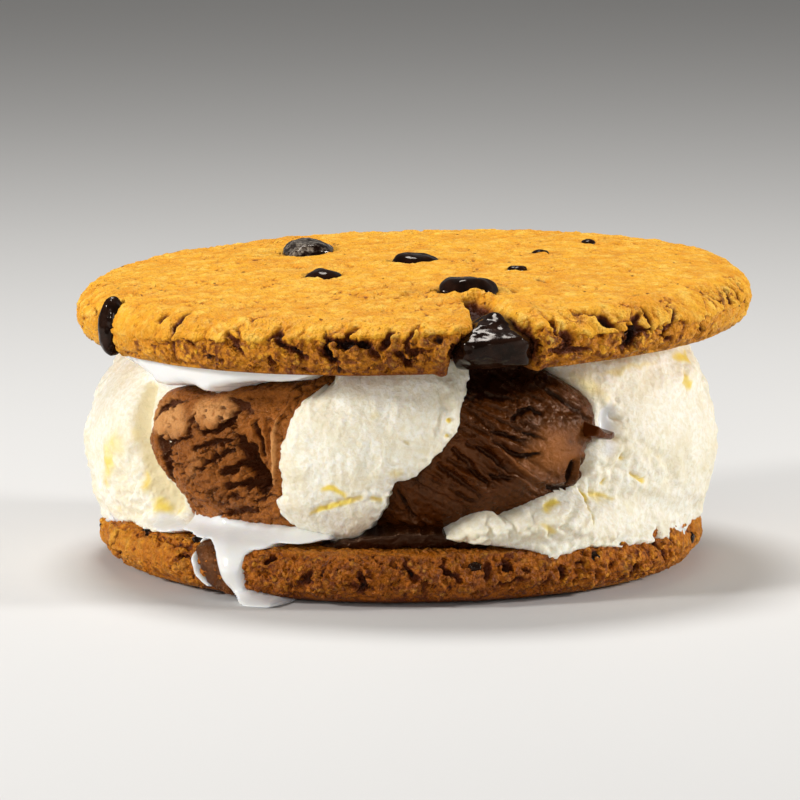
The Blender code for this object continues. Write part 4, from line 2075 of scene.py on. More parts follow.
@dataclass
class Chocolate:
    """Pieces of chocolate of one kind, as one object."""

    name: str
    chunks: tuple[Chunk, ...]
    relief: GrainRelief

    def build(self, finish: bpy.types.Material) -> bpy.types.Object:
        """Build the pieces and let them stand for their solids.

        Args:
            finish: What it is made of.

        Returns:
            The pieces.
        """
        shapes = [chunk.shape() for chunk in self.chunks]
        nodes = [chunk.node for chunk in self.chunks if chunk.node]
        seed = 0.21 * self.chunks[0].seed
        return dressed(shapes, self.name, self.relief, seed, finish, nodes)


# ---------------------------------------------------------------- the studio


@dataclass
class Lamp:
    """A soft light: where it stands, how large it is and how strong."""

    name: str
    at: tuple[float, float, float]
    size: float
    power: float
    colour: tuple[float, float, float] = (1.0, 1.0, 1.0)

    def build(self, aim: Vector) -> bpy.types.Object:
        """Make the light, turned towards the aim.

        Args:
            aim: What it lights.

        Returns:
            The light.
        """
        data = bpy.data.lights.new(self.name, "AREA")
        data.shape = "DISK"
        data.size = self.size
        data.energy = self.power
        data.color = self.colour
        made = linked(self.name, data)
        made.location = self.at
        made.rotation_euler = (Vector(self.at) - aim).to_track_quat("Z", "Y").to_euler()
        return made


@dataclass
class Studio:
    """The pale floor, the soft light and the camera, in metres."""

    lamps: tuple[Lamp, ...] = (
        Lamp("left_box", (-0.64, -0.24, 0.30), 0.14, 3.9, (1.0, 0.985, 0.96)),
        Lamp("right_box", (0.68, -0.06, 0.26), 0.14, 3.7, (1.0, 0.985, 0.965)),
        Lamp("top_box", (-0.05, 0.16, 0.62), 0.22, 2.9, (1.0, 0.99, 0.97)),
        Lamp("front_fill", (-0.10, -0.95, 0.26), 0.40, 2.0, (1.0, 0.99, 0.98)),
    )
    sky: tuple = (1.0, 0.98, 0.95, 1.0)
    sky_strength: float = 0.17
    elevation: float = ELEVATION
    distance: float = DISTANCE * MM
    lens: float = 276.3
    aim_across: float = -0.0022
    aim_height: float = AIM * MM
    raised: float = 0.00293  # of the aim, square to the view

    def build(self) -> None:
        """Make the floor, the world, the lights and the camera."""
        self.make_floor()
        self.make_world()
        aim = Vector((0.0, 0.0, self.aim_height))
        for lamp in self.lamps:
            lamp.build(aim)
        self.make_camera()

    def make_floor(self) -> None:
        """Lay a wide pale floor just under the sandwich."""
        half, under = 4.0, -0.0001
        mesh = bpy.data.meshes.new("floor")
        corners = [(-half, -half, under), (half, -half, under), (half, half, under), (-half, half, under)]
        mesh.from_pydata(corners, [], [(0, 1, 2, 3)])
        floor = linked("floor", mesh)
        mesh.materials.append(FloorFinish("pale_floor").material())

    def make_world(self) -> None:
        """Surround the scene with an even pale light."""
        world = bpy.data.worlds.new("studio")
        world.use_nodes = True
        back = world.node_tree.nodes["Background"]
        back.inputs["Color"].default_value = self.sky
        back.inputs["Strength"].default_value = self.sky_strength
        bpy.context.scene.world = world
        bpy.context.scene.view_settings.view_transform = "Standard"

    def make_camera(self) -> None:
        """Stand a long lens a little above the sandwich, in front of it."""
        tilt = math.radians(self.elevation)
        back = Vector((0.0, -math.cos(tilt), math.sin(tilt)))
        up = Vector((0.0, math.sin(tilt), math.cos(tilt)))
        aim = Vector((self.aim_across, 0.0, self.aim_height)) + up * self.raised
        data = bpy.data.cameras.new("camera")
        data.lens = self.lens
        data.sensor_width = 36.0
        data.clip_start = 0.05
        camera = linked("camera", data)
        camera.location = aim + back * self.distance
        camera.rotation_euler = back.to_track_quat("Z", "Y").to_euler()
        bpy.context.scene.camera = camera


# ---------------------------------------------------------------- the sandwich


def top_cookie() -> TopCookie:
    """Describe the upper cookie.

    Returns:
        The cookie.
    """
    cracks = lines(
        (0.4, -0.88, 0.35, (-43.5, 44.2), (-44, 42), (-45.5, 40), (-45, 37.6)),
        (0.43, -0.96, 0.6, (-33, 43.6), (-29, 39.6)),
        (0.54, -1.44, 0.6, (-23, 44), (-22.5, 42), (-18.5, 39.4)),
        (0.61, -2.08, 0.5, (-14, 42.9), (-7.5, 42.4)),
        (0.5, -1.52, 0.5, (-14.5, 42.4), (-14.5, 40.5), (-13.5, 39.2)),
        (0.43, -1.12, 0.5, (-7.5, 42.2), (-6, 40.4)), (0.54, -1.36, 0.6, (-3, 41), (-0.5, 38.6)),
        (0.36, -1.04, 0.4, (-25, 39.5), (-24.6, 37.9)), (0.85, -1.7, 0.5, (33.4, 45.4), (34.2, 44.4)),
        (0.3, -0.7, 0.5, (37, 42.2), (37.5, 40.6)), (0.36, -1.44, 0.25, (42.6, 46.3), (43.2, 42.2)),
        (0.4, -1.04, 0.3, (47.5, 40.8), (48.5, 40.4)), (0.23, -0.56, 0.3, (61.5, 47.2), (64, 45), (66, 41)),
        (0.4, -1.04, 0.5, (22.5, 40.4), (26, 40.6), (31, 40.2)),
        (1.5, 0.7, 0.4, (-12.5, 40.6), (-10, 40.4)),
    )
    face = lines(
        (0.52, -1.19, 0.35, (-37.4, -37.8), (-35.6, -36.6), (-33.1, -36.1)),
        (0.52, -1.19, 0.35, (-37.4, -37.8), (-38.4, -39.4)),
        (0.52, -0.99, 0.5, (13.4, -21.9), (15.2, -25.4), (18.7, -27.4)),
        (0.48, -0.86, 0.5, (19.5, -17.3), (21, -21), (24.8, -23.8)),
        (0.34, -0.75, 0.5, (22.6, -43), (25, -45.2), (29.4, -44.3)),
        (0.36, -0.8, 0.3, (46, -24.9), (48.5, -24)), (0.48, -0.8, 0.5, (-46.5, -20.6), (-44, -16.4)),
        (1.3, 0.9, 0.5, (8.6, -35.6), (12.6, -37.6), (16, -41.2), (20, -50.2)),
        (1.3, 0.6, 0.5, (2.6, -33.5), (5, -35.6), (9.5, -36.4)),
        (0.42, -0.7, 0.4, (14.2, -27.6), (16, -30.6)), (0.94, -1.19, 0.5, (16.8, -9.4), (17, -9)),
        (0.48, -0.53, 0.5, (14, -11), (19.6, -8.4)), (0.78, -1.06, 0.3, (34.9, -32.5), (35.1, -32.3)),
        (0.52, -0.8, 0.3, (32.7, -30.2), (32.9, -30)), (0.63, -0.93, 0.3, (39.8, 2.9), (40.4, 3.1)),
        (0.42, -0.66, 0.3, (-42.2, -9.4), (-41.6, -9.2)), (0.42, -0.66, 0.3, (-39, -9.1), (-38.4, -9)),
        (0.58, -1.06, 0.3, (-39.6, -34.9), (-39, -34.4)), (0.48, -0.46, 0.5, (-26, -21), (-22.5, -20.2)),
        (0.32, -0.46, 0.6, (20, -38), (24, -36.5), (27, -38.5)),
        (0.32, -0.46, 0.6, (36, -20), (40, -18), (42.5, -21)),
    )
    spread = random_cracks(26, ((62, 178), (39, 45.5)), 2.1, 11)
    spread += random_cracks(26, ((-178, -60), (38.5, 44.5)), 2.1, 12)
    spread += random_cracks(16, ((-58, 58), (38.5, 43.5)), 1.5, 13)
    return TopCookie(
        name="top_cookie_crust", slot=Slot.GOLDEN, node="top_cookie", radius=TOP_RADIUS,
        rough_round=(
            (-180, 0.8), (-150, 0.9), (-128, 0.45), (-100, 0.25), (-70, 0.22), (-52, 0.4), (-42, 0.85),
            (-34, 1), (28, 1), (40, 0.85), (55, 0.55), (75, 0.3), (100, 0.25), (125, 0.5), (150, 0.9),
        ),
        # The browning peaks at the front, where it is partly painted shade.
        toast_round=(
            (-180, 0.3), (-140, 0.25), (-90, 0), (-60, 0.02), (-45, 0.1), (-30, 0.34), (-10, 0.6),
            (8, 0.58), (25, 0.32), (45, 0.12), (65, 0.02), (100, 0.05), (150, 0.28),
        ),
        side_strokes=cracks + tuple(spread), face_strokes=face, seed=4,
        lip_line=(
            (-180, 1.2), (-140, 1), (-100, -0.4), (-60, -0.6), (-45, 0.2), (-30, 1.3), (-15, 1.9), (0, 2.2),
            (12, 2.6), (24, 1.4), (34, 0.6), (60, 0.2), (90, -0.2), (140, 1),
        ),
        break_outline=(
            (5.6, 36.8), (5.9, 41.2), (7.6, 43.6), (9.6, 45.4), (11.2, 47.6), (14.6, 47.8), (17.6, 46.6),
            (20.2, 44.6), (21, 41), (20.4, 36.8),
        ),
        pockets=(
            Pocket("chip_left", 1, 0.12), Pocket("chip_centre", 1, 0.12), Pocket("chunk_back", 1, 0.15),
            Pocket("chunk_middle", 0.5, 0.25), Pocket("chunk_left", 1, 0.2),
        ),
    )


def bottom_cookie() -> BottomCookie:
    """Describe the lower cookie.

    Returns:
        The cookie.
    """
    cracks = lines(
        (0.5, -1.1, 0.8, (-17.5, 5.5), (-17, 4.2), (-18.6, 3)),
        (0.45, -0.9, 0.8, (1, 6.4), (2.4, 5.6), (3, 4.2)), (0.55, -1.2, 0.8, (8, 7.2), (8.6, 6), (11, 4.8)),
        (0.55, -1.2, 0.8, (19.5, 7), (20.4, 6)), (0.42, -1, 0.8, (22.5, 4.2), (18.5, 3)),
        (0.4, -0.8, 0.8, (35, 5.4), (36.6, 4.4)), (0.36, -0.7, 0.8, (43.5, 5.2), (43, 4)),
        (0.7, -1.4, 0.3, (57, 7.6), (58, 5.6)), (0.6, -1.1, 0.3, (63, 6.4), (63.6, 6)),
        (0.45, -1, 0.4, (59.5, 5.2), (60.5, 3.2)), (1.2, 0.8, 0.5, (36.5, 5.6), (37.5, 3.4)),
        (1.1, 0.8, 0.5, (40.5, 5.6), (41.5, 3)),
    )
    spread = random_cracks(24, ((66, 178), (1.6, 7.4)), 1.6, 31)
    spread += random_cracks(24, ((-178, -66), (1.6, 7.4)), 1.6, 32)
    spread += random_cracks(20, ((-64, 64), (1.4, 7)), 0.7, 33)
    return BottomCookie(
        name="bottom_cookie_crust", slot=Slot.BROWNED, node="bottom_cookie", radius=49,
        rough_round=(
            (-180, 0.9), (-130, 0.7), (-95, 0.45), (-70, 0.4), (-45, 0.55), (-25, 0.95), (25, 1), (50, 0.9),
            (70, 0.55), (95, 0.45), (130, 0.75),
        ),
        # The browning peaks at the front, where it is partly painted shade.
        toast_round=(
            (-180, 0.45), (-120, 0.15), (-75, 0), (-50, 0.12), (-38, 0.45), (-22, 0.52), (0, 0.6),
            (22, 0.6), (36, 0.35), (50, 0.1), (80, 0), (120, 0.15),
        ),
        side_strokes=cracks + tuple(spread), face_strokes=(), seed=9,
        relief=CookieRelief(lump_size=1.5, lump_height=0.7, cavity_size=1.9, cavity_depth=0.95),
        side_steps=(0.285, 0.345),
    )


def vanilla_middle() -> Scoop:
    """Describe the middle vanilla scoop.

    Returns:
        The scoop.
    """
    front = Lobe(
        outline=(
            (-11.2, 37.4), (-12.2, 35.3), (-14.2, 33.8), (-17.2, 33.2), (-19.6, 30.7), (-22.3, 23.9),
            (-21.4, 18.1), (-22.6, 17.6), (-22.8, 16), (-20.3, 13.3), (-18, 12.1), (-12.1, 10.5),
            (-8.6, 10.6), (-7.3, 11.5), (-3, 15.5), (-1.6, 19.8), (-0.5, 20.5), (1.8, 20.4), (8, 25.6),
            (11, 29.3), (10.3, 30.3), (12.5, 35.5), (12, 42), (-11.2, 42),
        ),
        span=(-34, 20), ball=Ball(-8, 23.5, 47.4, 0.006, 0.02, 0.03), edge=2.4, fall=2.6, fray=0.34,
        fray_size=1.1, curd=(0.3, 0.14, 0.08), streak=0.1, step=0.24, seed=3,
        swells=mounds((-18, 16.5, 3.5, 2, 0.5), (-8, 37.6, 9, 1.4, -0.8)),
        strokes=lines(
            (0.9, 0.55, 0.5, (8.6, 35.8), (8.8, 33), (8.4, 30.6)),
            (0.7, -0.35, 0.4, (7, 35.6), (7.3, 33), (7, 30.8), (6, 28)),
            (0.4, -0.6, 0.1, (8.2, 30.3), (8.3, 30.2)), (0.35, -0.5, 0.1, (7.9, 27.8), (8.2, 27.7)),
            (0.35, -0.45, 0.2, (0.8, 26.9), (1.3, 26.7)),
            (0.45, -0.3, 0.6, (-15.1, 15.6), (-12.6, 16.7), (-6.8, 18.2)),
            (0.6, 0.3, 0.6, (-9, 18.6), (-4.6, 18.6)), (0.45, -0.6, 0.5, (-4.8, 18), (-3.4, 17.6)),
            (0.35, -0.4, 0.3, (-21, 17.9), (-19.8, 17.7)),
        ),
        tints=lines(
            (0.65, 1, 0.35, (-13.4, 19.2), (-11.5, 19.5), (-10, 18.8), (-9.2, 18)),
            (0.6, 1, 0.35, (-15.1, 15.6), (-13.2, 16.5), (-6.8, 18.1)),
            (0.45, 1.1, 0.1, (8.2, 30.3), (8.3, 30.2)), (0.4, 0.9, 0.1, (7.9, 27.8), (8.2, 27.7)),
            (0.4, 0.6, 0.1, (0.8, 26.9), (1.3, 26.7)), (0.5, 0.8, 0.2, (-4.8, 18), (-3.4, 17.8)),
            (1.1, 0.45, 0.6, (-5, 30.5), (-4, 31)), (0.8, 0.45, 0.6, (-1.5, 21.8), (0, 22.4)),
        ),
    )
    back = Lobe(
        outline=((139, 42), (137, 30), (140, 20), (138, 7), (222, 7), (219, 17), (222, 28), (220, 42)),
        span=(134, 226), enveloped=True, proud=0.3, edge=1.8, fall=1.2, curd=(0.45, 0.35, 0.07),
        streak=0.05, step=0.36, seed=5, swells=mounds((182, 18, 9, 6, 0.8)),
        strokes=lines(
            (0.6, -0.7, 0.7, (166, 27), (172, 25.5), (180, 26.2), (188, 24.6)),
            (0.5, -0.5, 0.7, (170, 15), (178, 16.2), (186, 14.8)),
            (0.6, 0.4, 0.6, (192, 31), (194, 25), (193, 19)),
        ),
        tints=lines((0.9, 0.9, 0.5, (172, 14), (180, 15.4)), (0.8, 0.7, 0.5, (190, 22), (191, 26))),
        wets=mounds((180, 36, 40, 2.2, 0.9), (180, 9, 40, 2, 0.9)),
    )
    return Scoop(
        "vanilla_middle_scoop", "vanilla_middle", Slot.VANILLA, (front, back),
        GrainRelief(grain_height=0.1, pit_depth=0.16),
    )


def chocolate_left() -> Scoop:
    """Describe the left chocolate scoop, torn into plates and deep gouges.

    Returns:
        The scoop.
    """
    front = Lobe(
        outline=(
            (-50.3, 26.5), (-49.1, 29.8), (-46.9, 32.1), (-44.9, 33.1), (-39.5, 33.8), (-37.7, 32.8),
            (-35.5, 32.6), (-33.6, 33.7), (-26.6, 35), (-18.7, 35.3), (-15.5, 36.8), (-8, 37.6), (-8, 30),
            (-15, 24), (-15, 16), (-17, 7), (-38, 7), (-40.2, 15.2), (-44, 17.2), (-49.8, 22.3),
        ),
        span=(-80, -6), ball=Ball(-50, 23, 46.8, 0.0062, 0.046, 0.031), edge=2, fall=2.6, fray=0.2,
        fray_size=2.4, crumple=0.13, curd=(0, 0.12, 0.12), step=0.22, seed=7,
        drags=(
            Drag(9, 1.8, 1.25, (-36, 20, 9, 5.5), 21, 0.3, 3),
            Drag(12, 1.1, 0.85, (-28, 17, 8, 4), 22),
            Drag(6, 0.95, 0.6, (-34, 21, 12, 8), 24, ragged=0.7),
            Drag(-16, 1.3, 0.4, (-43, 31, 8, 2.6), 23),
        ),
        plates=plates(
            (
                0.24, 0.5, 0.4, (-48, 26.4), (-46.6, 28.4), (-43.4, 29.6), (-40.1, 30.2), (-38.4, 29.6),
                (-38.9, 28.4), (-41.2, 25.7), (-45.8, 25.3), (-47.6, 25.8),
            ),
            (
                0.26, 0.5, 0.4, (-38, 28.6), (-37.2, 31), (-34.3, 32), (-31, 31.6), (-29.9, 30.2),
                (-30.4, 29.3), (-31.6, 28.6), (-37, 27), (-37.6, 27.6),
            ),
            (
                0.45, 0.5, 0.6, (-21, 18.6), (-22.9, 17.9), (-25.8, 17.5), (-27.6, 16.6), (-28.4, 17.6),
                (-30, 17.8), (-31.9, 14.9), (-20.6, 16.6),
            ),
            (
                0.2, 0.5, 0.4, (-48.6, 29.6), (-46.6, 31.8), (-44.2, 32.9), (-40, 33.4), (-38.6, 32.6),
                (-44, 31.3), (-46.6, 30.2),
            ),
        ),
        swells=mounds(
            (-24, 32.6, 6, 2.6, -2.8), (-15, 34.5, 4, 2.4, -1.6), (-37, 19.5, 6, 5, 0.7),
            (-25.6, 22, 2.6, 5, -1.2),
        ),
        strokes=lines(
            (0.75, 0.75, 0.3, (-50, 25.8), (-49.4, 23.4), (-48.4, 21.6), (-45, 17.8), (-42.6, 16.1)),
            (0.8, -1.9, 0.4, (-47.2, 25), (-45, 21.8), (-43.5, 17.8), (-42.2, 16.4)),
            (0.7, -1.4, 0.5, (-46.6, 24.6), (-44.6, 23.2), (-44, 21.6)),
            (0.38, -1.3, 0.7, (-47.6, 25.2), (-45.7, 24.7), (-43.4, 24.6), (-39.6, 25.8)),
            (0.4, -1, 0.5, (-48.8, 27.3), (-46.5, 29.4), (-43.7, 30.7), (-40.4, 31.4)),
            (0.5, -1.9, 0.7, (-36.9, 26.4), (-32.2, 27.8), (-30.3, 28.8), (-29.3, 30.2)),
            (0.32, -1, 0.6, (-40.3, 26.2), (-38.2, 29.2)), (0.3, -0.9, 0.6, (-38.1, 29), (-37, 26.6)),
            (0.42, -1.6, 0.8, (-38.7, 24), (-30.2, 26.1)),
            (0.45, -1.5, 0.8, (-36.9, 20.9), (-33.5, 23.2), (-30.6, 24.5)),
            (0.75, -2.3, 0.8, (-32.8, 20.7), (-30.2, 21.5), (-27, 23.5)),
            (0.6, -2.2, 0.7, (-31.6, 18.9), (-24.5, 19.8)),
            (1, -3.2, 0.6, (-28.8, 26.6), (-25.3, 21.9), (-23.9, 18.9)),
            (0.4, 1.3, 0.4, (-29.9, 28.2), (-26.3, 24.3), (-24, 22.9)),
            (0.55, 0.9, 0.6, (-28.6, 21.6), (-25.8, 20.8)), (0.4, -1.9, 0.4, (-25.8, 28.8), (-24.5, 24.4)),
            (0.35, 0.5, 0.4, (-26.6, 29), (-26.4, 26)),
            (0.45, 0.55, 0.35, (-24.7, 29.9), (-22.5, 20.6), (-22.7, 19)),
            (0.55, 0.85, 0.3, (-19, 34.4), (-21.9, 29.4), (-22.5, 23.8), (-21.8, 19.4)),
            (0.28, -0.7, 0.3, (-23.3, 29.6), (-23.2, 26.4), (-22.4, 21.8)),
            (0.35, -0.9, 0.7, (-31.6, 17.1), (-30.2, 17.7), (-28.2, 17.2)),
            (0.3, -0.8, 0.6, (-25.8, 16.8), (-21.4, 17.9)),
            (0.32, -0.8, 0.4, (-33, 13.9), (-28.6, 15.1), (-25, 15.2)),
            (0.5, 0.7, 0.3, (-22, 15.2), (-20.4, 13.9), (-18, 12.9)),
            (0.5, -1, 0.6, (-27.5, 30.6), (-31.5, 32.4)),
            (0.5, 0.5, 0.5, (-30.4, 32.9), (-26.6, 34), (-22.6, 34)),
            (0.35, -0.5, 0.7, (-45, 26.6), (-43.8, 26.9)), (0.28, -0.7, 0.1, (-35.8, 30.4), (-35.7, 30.3)),
            (0.3, -0.7, 0.1, (-36, 29.4), (-35.9, 29.3)), (0.3, -0.7, 0.1, (-32.7, 31), (-32.6, 30.9)),
            (0.32, -0.7, 0.2, (-33.2, 29.6), (-32.6, 29.3)),
            (0.26, -0.6, 0.1, (-30.6, 30.4), (-30.4, 30.3)),
        ),
        calms=mounds((-22.6, 25, 2, 6.5, 0.8), (-48, 21.5, 1.4, 4.5, 0.7)),
        wets=mounds((-22.5, 26, 1.8, 7, 0.45), (-30, 14, 8, 1.4, 0.35)),
        tints=lines(
            (3.2, 0.95, 0.8, (-47, 27.8), (-42, 28.4)), (2.4, 0.9, 0.8, (-36.5, 29.6), (-32, 30.4)),
            (1.8, 0.45, 0.8, (-38.5, 19.5), (-38, 22.5)),
            (0.7, 0.8, 0.3, (-21.9, 29.4), (-22.4, 24), (-22, 20)),
        ),
    )
    back = Lobe(
        outline=(
            (193, 33.5), (200, 36), (214, 36.6), (228, 35.4), (238, 32), (243, 27), (245, 21), (242, 15),
            (234, 10.4), (222, 8), (208, 8.4), (198, 11.5), (192, 16), (195, 21), (190, 27),
        ),
        span=(184, 252), ball=Ball(217, 22.5, 45.6, 0.004, 0.03, 0.028), edge=2, fall=2.4, fray=0.45,
        fray_size=2.4, crumple=0.18, step=0.34, seed=8,
        drags=(
            Drag(12, 2.2, 0.95, (217, 22, 24, 10), 31),
            Drag(-10, 1.3, 0.45, (207, 30, 14, 4.5), 32),
        ),
        strokes=lines(
            (0.45, -1.2, 0.7, (204, 27), (212, 29), (221, 28.4)),
            (0.5, -1.3, 0.7, (214, 18), (222, 20), (230, 22.6)),
            (0.5, -1.4, 0.7, (199, 16), (206, 15), (212, 16.4)),
            (0.6, 0.8, 0.5, (232, 30), (237, 26), (239, 21)),
        ),
        tints=lines((2.4, 0.7, 0.8, (206, 24), (214, 25)), (2.2, 0.6, 0.8, (224, 16), (232, 18))),
    )
    return Scoop(
        "chocolate_left_scoop", "chocolate_left", Slot.CHOCOLATE_ICE, (front, back),
        GrainRelief(
            grain_size=0.8, grain_height=0.2, pit_size=1.7, pit_depth=0.26, crease_depth=0.6, crease_size=1.7,
        ),
    )


def chocolate_right() -> Scoop:
    """Describe the right chocolate scoop, glossy and dragged towards its lower right.

    Returns:
        The scoop.
    """
    front = Lobe(
        outline=(
            (4, 42), (5, 33), (3, 27), (-6, 20), (-12, 11), (-13, 7), (33, 7), (31.2, 18), (31.3, 18.5),
            (34, 19), (33, 22.6), (37.1, 27), (36.6, 30.7), (35.8, 32.5), (27.5, 37.4), (26, 42),
        ),
        span=(-30, 62), ball=Ball(26, 23.5, 45.2, 0.0075, 0.036, 0.029), edge=2, fall=2.4, fray=0.2,
        fray_size=2.2, crumple=0.1, curd=(0, 0.12, 0.1), step=0.22, seed=11, smoothing=0.3,
        drags=(
            Drag(-33, 1.7, 2.1, (13, 21, 13, 7.5), 41, 0.15, 4),
            Drag(-30, 1.3, 1.7, (18, 30, 13, 5.5), 42, 0.15, 4),
            Drag(-48, 1.2, 1, (31, 31.5, 6, 4), 43, 0.2),
            Drag(-36, 0.95, 1.2, (13, 24, 15, 10), 45, 0.2, 4),
            Drag(-40, 1.3, 1.1, (3, 15.5, 6, 4), 44),
        ),
        swells=mounds(
            (15, 37, 15, 3.6, -3.2), (29, 24, 5, 4.2, 0.9), (2, 11, 9, 2.4, -2.2), (20.6, 20, 4, 2, 0.7),
            (20, 9, 16, 4, -2), (8, 24, 3.4, 6, -0.8),
        ),
        strokes=lines(
            (0.45, 1.1, 0.17, (9.6, 27.2), (13.3, 27.6), (17.3, 25.5), (19.6, 23.2), (24.1, 20.1)),
            (0.34, -1.2, 0.25, (11.4, 26.4), (14.4, 25.3), (18.9, 21.6)),
            (0.38, 0.8, 0.2, (14.4, 24.6), (16.8, 22.8), (22.4, 19.7)),
            (0.42, 0.85, 0.25, (6.6, 24.1), (9, 22.9), (15.2, 18.8)),
            (0.4, -1.36, 0.25, (9.2, 25.6), (11.7, 23.6), (15, 20)),
            (0.36, -1.12, 0.25, (6.6, 23.2), (13.8, 18.3)), (0.4, 0.6, 0.25, (5.3, 22), (10.6, 17.6)),
            (0.32, -0.8, 0.25, (5.5, 21), (11.1, 17.9), (13.3, 17.3)),
            (0.3, -1.12, 0.3, (15.4, 28.2), (22, 26.6)),
            (0.34, -1.28, 0.25, (15.4, 26.9), (19.3, 24.7), (21.5, 24.1), (24.6, 24.2)),
            (0.28, -0.88, 0.25, (21.5, 27.8), (25.3, 26.6)),
            (0.32, -0.96, 0.25, (15.7, 21.4), (17.6, 20.8), (19.5, 20.9)),
            (0.44, -1.28, 0.35, (19.6, 29.9), (21.5, 31), (23.2, 31.3), (25, 30.6)),
            (0.4, -0.72, 0.35, (11.7, 33.1), (16, 33.5), (20.4, 32.8)),
            # A wide furrow under the upper cookie: its hollow mark paints shade there, near black.
            (3.6, -1.6, 0.9, (8, 36.6), (17, 37.4), (26, 37.2)),
            (0.4, -0.96, 0.3, (25.5, 34.8), (34.8, 28.7)), (0.5, 0.7, 0.3, (26, 33.6), (26.8, 30.2)),
            (0.45, 0.6, 0.3, (25.8, 29.2), (28.2, 29.8), (33, 29.9)),
            (0.45, 0.6, 0.2, (32.4, 26.6), (35.4, 25.4)),
            (0.32, -1.04, 0.25, (-0.4, 19.4), (2.2, 15.3), (3.6, 14.5)),
            (0.4, 0.8, 0.2, (0.9, 18.2), (3.2, 14.8), (5.6, 13.6)),
            (0.45, 0.6, 0.25, (0.4, 14.6), (5, 13.1)), (0.2, -0.32, 0.15, (28, 24.6), (30.1, 24.3)),
            (0.4, 0.9, 0.1, (31.6, 23.4), (31.2, 20.1), (31.4, 18.9)),
            (0.38, 0.9, 0.1, (33, 23.6), (33.8, 19.5)), (0.29, -1.76, 0.1, (32.3, 22.8), (32.6, 19)),
            (0.6, -2, 0.15, (30.6, 22.4), (29.8, 19.6)),
            (0.35, 0.8, 0.2, (24.7, 20.1), (27.4, 19.5), (29.8, 20)),
            (0.4, -1.28, 0.15, (25.9, 18.9), (28.3, 18.5), (30.6, 18.6)),
        ),
        calms=mounds((29, 25, 3.6, 3.6, 1), (21, 19.6, 3.4, 1.8, 0.8), (8, 17, 4, 2.4, 0.6)),
        wets=mounds((12, 24, 13, 12, 0.65), (30, 30, 4, 3, 0.35), (3, 14, 5, 3, 0.45)),
        # The broad first tint lightens the right part as painted light, against the body's dark colour, which
        # on the left stands partly for painted shade.
        tints=lines(
            (5, 0.7, 0.9, (24.5, 24), (30, 26)), (1.5, 0.4, 0.5, (21, 20.4), (22.6, 19.6)),
            (0.5, 0.55, 0.4, (17.3, 25.5), (21.5, 21.7)),
        ),
    )
    curl = Lobe(
        outline=ribbon(
            ((36.2, 27), (37.4, 26.3), (39.4, 25.9), (41.6, 26.2), (43.6, 27.4)),
            ((0, 1.8), (0.3, 1), (0.8, 1.3), (1, 1.1)),
        ),
        span=(33, 47), ball=Ball(42, 26.5, 47.3, 0.075, 0.02, 0.02), lowest=23, highest=30, edge=0.4,
        fall=0.4, fray=0.12, step=0.16, seed=13, wets=mounds((39, 26.5, 20, 9, 0.9)),
    )
    back = Lobe(
        outline=(
            (115, 31), (120, 35.4), (132, 37), (148, 36.6), (158, 34), (164, 29), (162, 24), (166, 19),
            (163, 12.5), (154, 9), (140, 8), (126, 8.8), (117, 12.4), (112, 18), (115, 24),
        ),
        span=(106, 172), ball=Ball(139, 22.5, 45.8, 0.004, 0.028, 0.028), edge=2, fall=2.4, fray=0.45,
        fray_size=2.4, crumple=0.12, step=0.34, seed=12,
        drags=(
            Drag(-26, 2.1, 0.95, (139, 22, 24, 10), 51, stretch=4),
            Drag(-38, 1.3, 0.5, (150, 29, 12, 5), 52),
        ),
        strokes=lines(
            (0.5, 1, 0.5, (122, 28), (131, 26), (140, 22), (148, 19)),
            (0.4, -1.2, 0.5, (120, 26), (130, 23.6), (139, 20)),
            (0.4, -1.2, 0.6, (140, 31), (148, 28.4), (155, 24)),
            (0.5, -1.3, 0.6, (124, 17), (133, 14.6), (142, 13.2)),
        ),
        wets=mounds((139, 22, 24, 12, 0.45)), tints=lines((2.6, 0.5, 0.8, (142, 25), (148, 24))),
    )
    return Scoop(
        "chocolate_right_scoop", "chocolate_right", Slot.CHOCOLATE_ICE, (front, curl, back),
        GrainRelief(
            grain_size=0.7, grain_height=0.16, pit_size=2, pit_depth=0.26, crease_depth=0.3, crease_size=1.3,
        ),
    )


